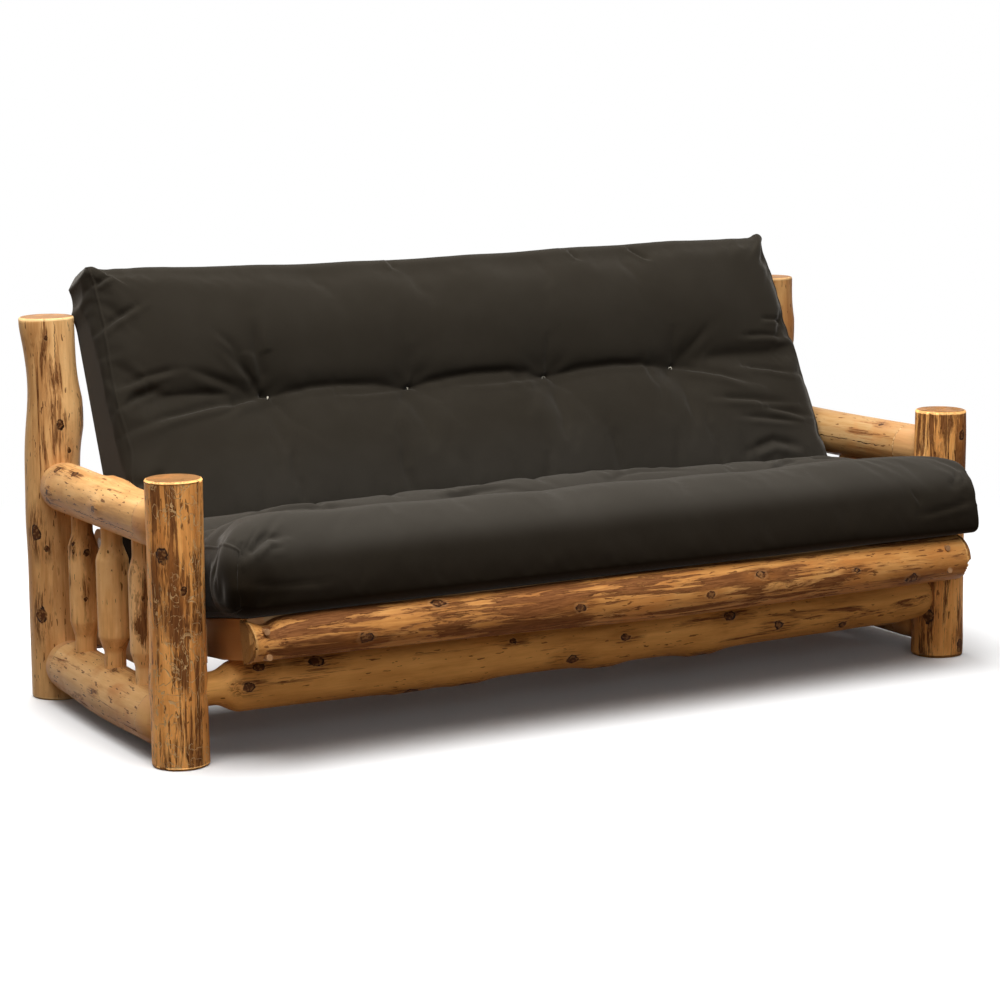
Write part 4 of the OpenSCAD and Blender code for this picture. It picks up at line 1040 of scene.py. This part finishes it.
def cottonCover():
    look = Finish("cotton cover", 0.85)
    thread = look.node("UVMap", {"uv_map": "weave"})
    ribs = look.waves(thread, 190, 0.6, 1, 2)
    lint = look.noise(thread, 1400, 2, 0.6)
    cloud = look.noise(thread, 9, 3, 0.55)
    look.colour = look.blend(ribs * 0.5 + lint * 0.5, cotton["dark"], cotton["light"])
    x, y, z = (look.split(look.place, k) for k in range(3))
    level = z + y * 0.176  # height over the seat's slope
    for part, mask in (
            ("lint", cloud.ease(0.35, 0.7)),
            ("top", level.ease(0.355, 0.41) * y.fade(0.02, 0.12)),  # painted highlight: paler where the seat faces up to the lamps
            ("low", z.fade(0.33, 0.5) * y.fade(-0.45, -0.36)),  # painted shade: darker and browner low on the front roll, where it turns under
            # painted shade in the crease at the foot of the back
            ("crease", z.fade(0.4, 0.62) * y.ease(0.1, 0.16)),
            # painted shade on the seat's low left end, beside the front post
            ("left", x.fade(-0.94, -0.8) * z.fade(0.38, 0.5))):
        tone, share = cotton[part]
        look.paint(mask * share, tone)
    look.dress(0.78 + lint * 0.14, look.bump(ribs * 0.6 + lint * 0.5, 0.0004, 0.6))
    look.level("Specular IOR Level", 0)
    for name, value in cotton["sheen"].items():
        look.level("Sheen " + name, value)
    return look.material


cover(pad, cottonCover())
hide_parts("mattress_seat", "mattress_back")
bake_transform(pad)
print("mattress made:", len(pad.data.polygons), "faces")


# Pale thread where each tuft is tied: two arched stitches side by side

tie = dict(thread=0.0009, reach=0.0045, apart=0.0009, turn=0.4, sides=8, steps=10)


def paleThread():
    look = Finish("tuft thread", 0.8)
    twist = look.noise(look.place, 1500, 2, 0.5)
    look.colour = look.blend(twist, (0.4, 0.36, 0.29), (0.62, 0.58, 0.48))
    return look.dress(0.7 + twist * 0.2, look.bump(twist, 0.0002, 0.6))


def tuftTies(name, body, way, up, row, thread):
    spots = readSpots(pad.data)
    run, height = (spots - bolt) @ way, (spots - bolt) @ up
    ties = bmesh.new()
    for number, x in enumerate(soft.tuftX):
        away = np.hypot(spots[:, 0] - x, run - row) + (height < 0.09)
        found = int(np.argmin(away))
        normal = pad.data.vertex_normals[found].vector
        flat = Matrix.Translation(Vector(spots[found])) @ normal.to_track_quat("Z", "Y").to_matrix().to_4x4()
        flat = flat @ Matrix.Rotation(tie["turn"] * (-1) ** number, 4, "Z")
        for side in (-1, 1):
            start = flat @ Matrix.Translation((tie["reach"], side * tie["apart"], 0))
            ring = bmesh.ops.create_circle(ties, cap_ends=False, segments=tie["sides"],
                                           radius=tie["thread"], matrix=start)
            edges = list({edge for vertex in ring["verts"] for edge in vertex.link_edges})
            bmesh.ops.spin(ties, geom=ring["verts"] + edges, cent=flat @ Vector((0, 0, 0)), dvec=(0, 0, 0),
                           axis=-(flat.to_3x3() @ Vector((0, 1, 0))), angle=math.pi, steps=tie["steps"])
    bmesh.ops.recalc_face_normals(ties, faces=ties.faces)
    piece = addPiece(name, ties, thread)
    piece.data.polygons.foreach_set("use_smooth", [True] * len(piece.data.polygons))
    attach(piece, body)


thread = paleThread()
tuftTies("seat_tuft_ties", "seat_deck", seatRun, seatRise, soft.seatFar - soft.tuftRows[0], thread)
tuftTies("back_tuft_ties", "upper_mattress", backRun, backRise,
         foldIn + soft.tuftRows[1] - soft.seatLength, thread)
print("tufts tied")


# Floor, lights and camera

def paleFloor():
    look = Finish("pale floor", 0.9)
    look.level("Base Color", studio["floor"])
    rays = look.node("LightPath").socket.node.outputs
    seen = Wired(look, rays["Is Camera Ray"]).most(Wired(look, rays["Is Glossy Ray"]))
    seen = seen.most(Wired(look, rays["Is Transmission Ray"]))
    dim = look.node("BsdfDiffuse", None, {"Color": studio["bounce"]})
    far = look.measure("LENGTH", look.place).ease(*studio["whiteFrom"])
    floor = look.node("MixShader", None, {
        0: far, 1: Wired(look, look.shader.outputs[0]), 2: look.node("Emission")})
    both = look.node("MixShader", None, {0: seen, 1: dim, 2: floor})
    look.join(both, look.tree.nodes["Material Output"].inputs["Surface"])
    return look.material


studio = dict(
    key=dict(place=(-0.8, -1.1, 4.6), size=4.2, power=360),
    fill=dict(place=(-2.4, -6.8, 2.3), size=3, power=66),
    rim=dict(place=(0.2, 2.6, 4.8), size=3, power=185),
    sky=0.12, floor=(0.93, 0.93, 0.93, 1), bounce=(0.12, 0.07, 0.034, 1), whiteFrom=(1.3, 3.2),
)
floorMesh = bmesh.new()
bmesh.ops.create_circle(floorMesh, cap_ends=True, segments=96, radius=18)
addPiece("floor", floorMesh, paleFloor())
for name in ("key", "fill", "rim"):
    lamp = bpy.data.lights.new(name, "AREA")
    lamp.energy = studio[name]["power"]
    lamp.size = studio[name]["size"]
    stand = addObject(name, lamp)
    stand.location = studio[name]["place"]
    stand.rotation_euler = (Vector((0, 0, 0.4)) - stand.location).to_track_quat("-Z", "Y").to_euler()

world = bpy.data.worlds.new("studio")
world.use_nodes = True
scene.world = world
sky, back = world.node_tree, world.node_tree.nodes["Background"]
rays, seen, strength = (sky.nodes.new("ShaderNode" + kind) for kind in ("LightPath", "Math", "MapRange"))
seen.operation = "MAXIMUM"
strength.inputs["To Min"].default_value = studio["sky"]
back.inputs["Color"].default_value = (1, 1, 1, 1)
for source, target in ((rays.outputs["Is Camera Ray"], seen.inputs[0]),
                       (rays.outputs["Is Glossy Ray"], seen.inputs[1]),
                       (seen.outputs[0], strength.inputs["Value"]),
                       (strength.outputs[0], back.inputs["Strength"])):
    sky.links.new(source, target)
print("stage lit")

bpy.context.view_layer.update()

camera = addObject("camera", bpy.data.cameras.new("camera"))
view = dict(place=(-3.0832, -5.3037, 1.4573), yaw=0.5176, pitch=0.1643, roll=-0.0075, lens=92.97)
camera.matrix_world = (Matrix.Translation(view["place"]) @ Matrix.Rotation(-view["yaw"], 4, "Z")
                       @ Matrix.Rotation(math.pi / 2 - view["pitch"], 4, "X")
                       @ Matrix.Rotation(view["roll"], 4, "Z"))
camera.data.lens = view["lens"]
camera.data.sensor_width = 36
scene.camera = camera
scene.view_settings.view_transform = "Standard"
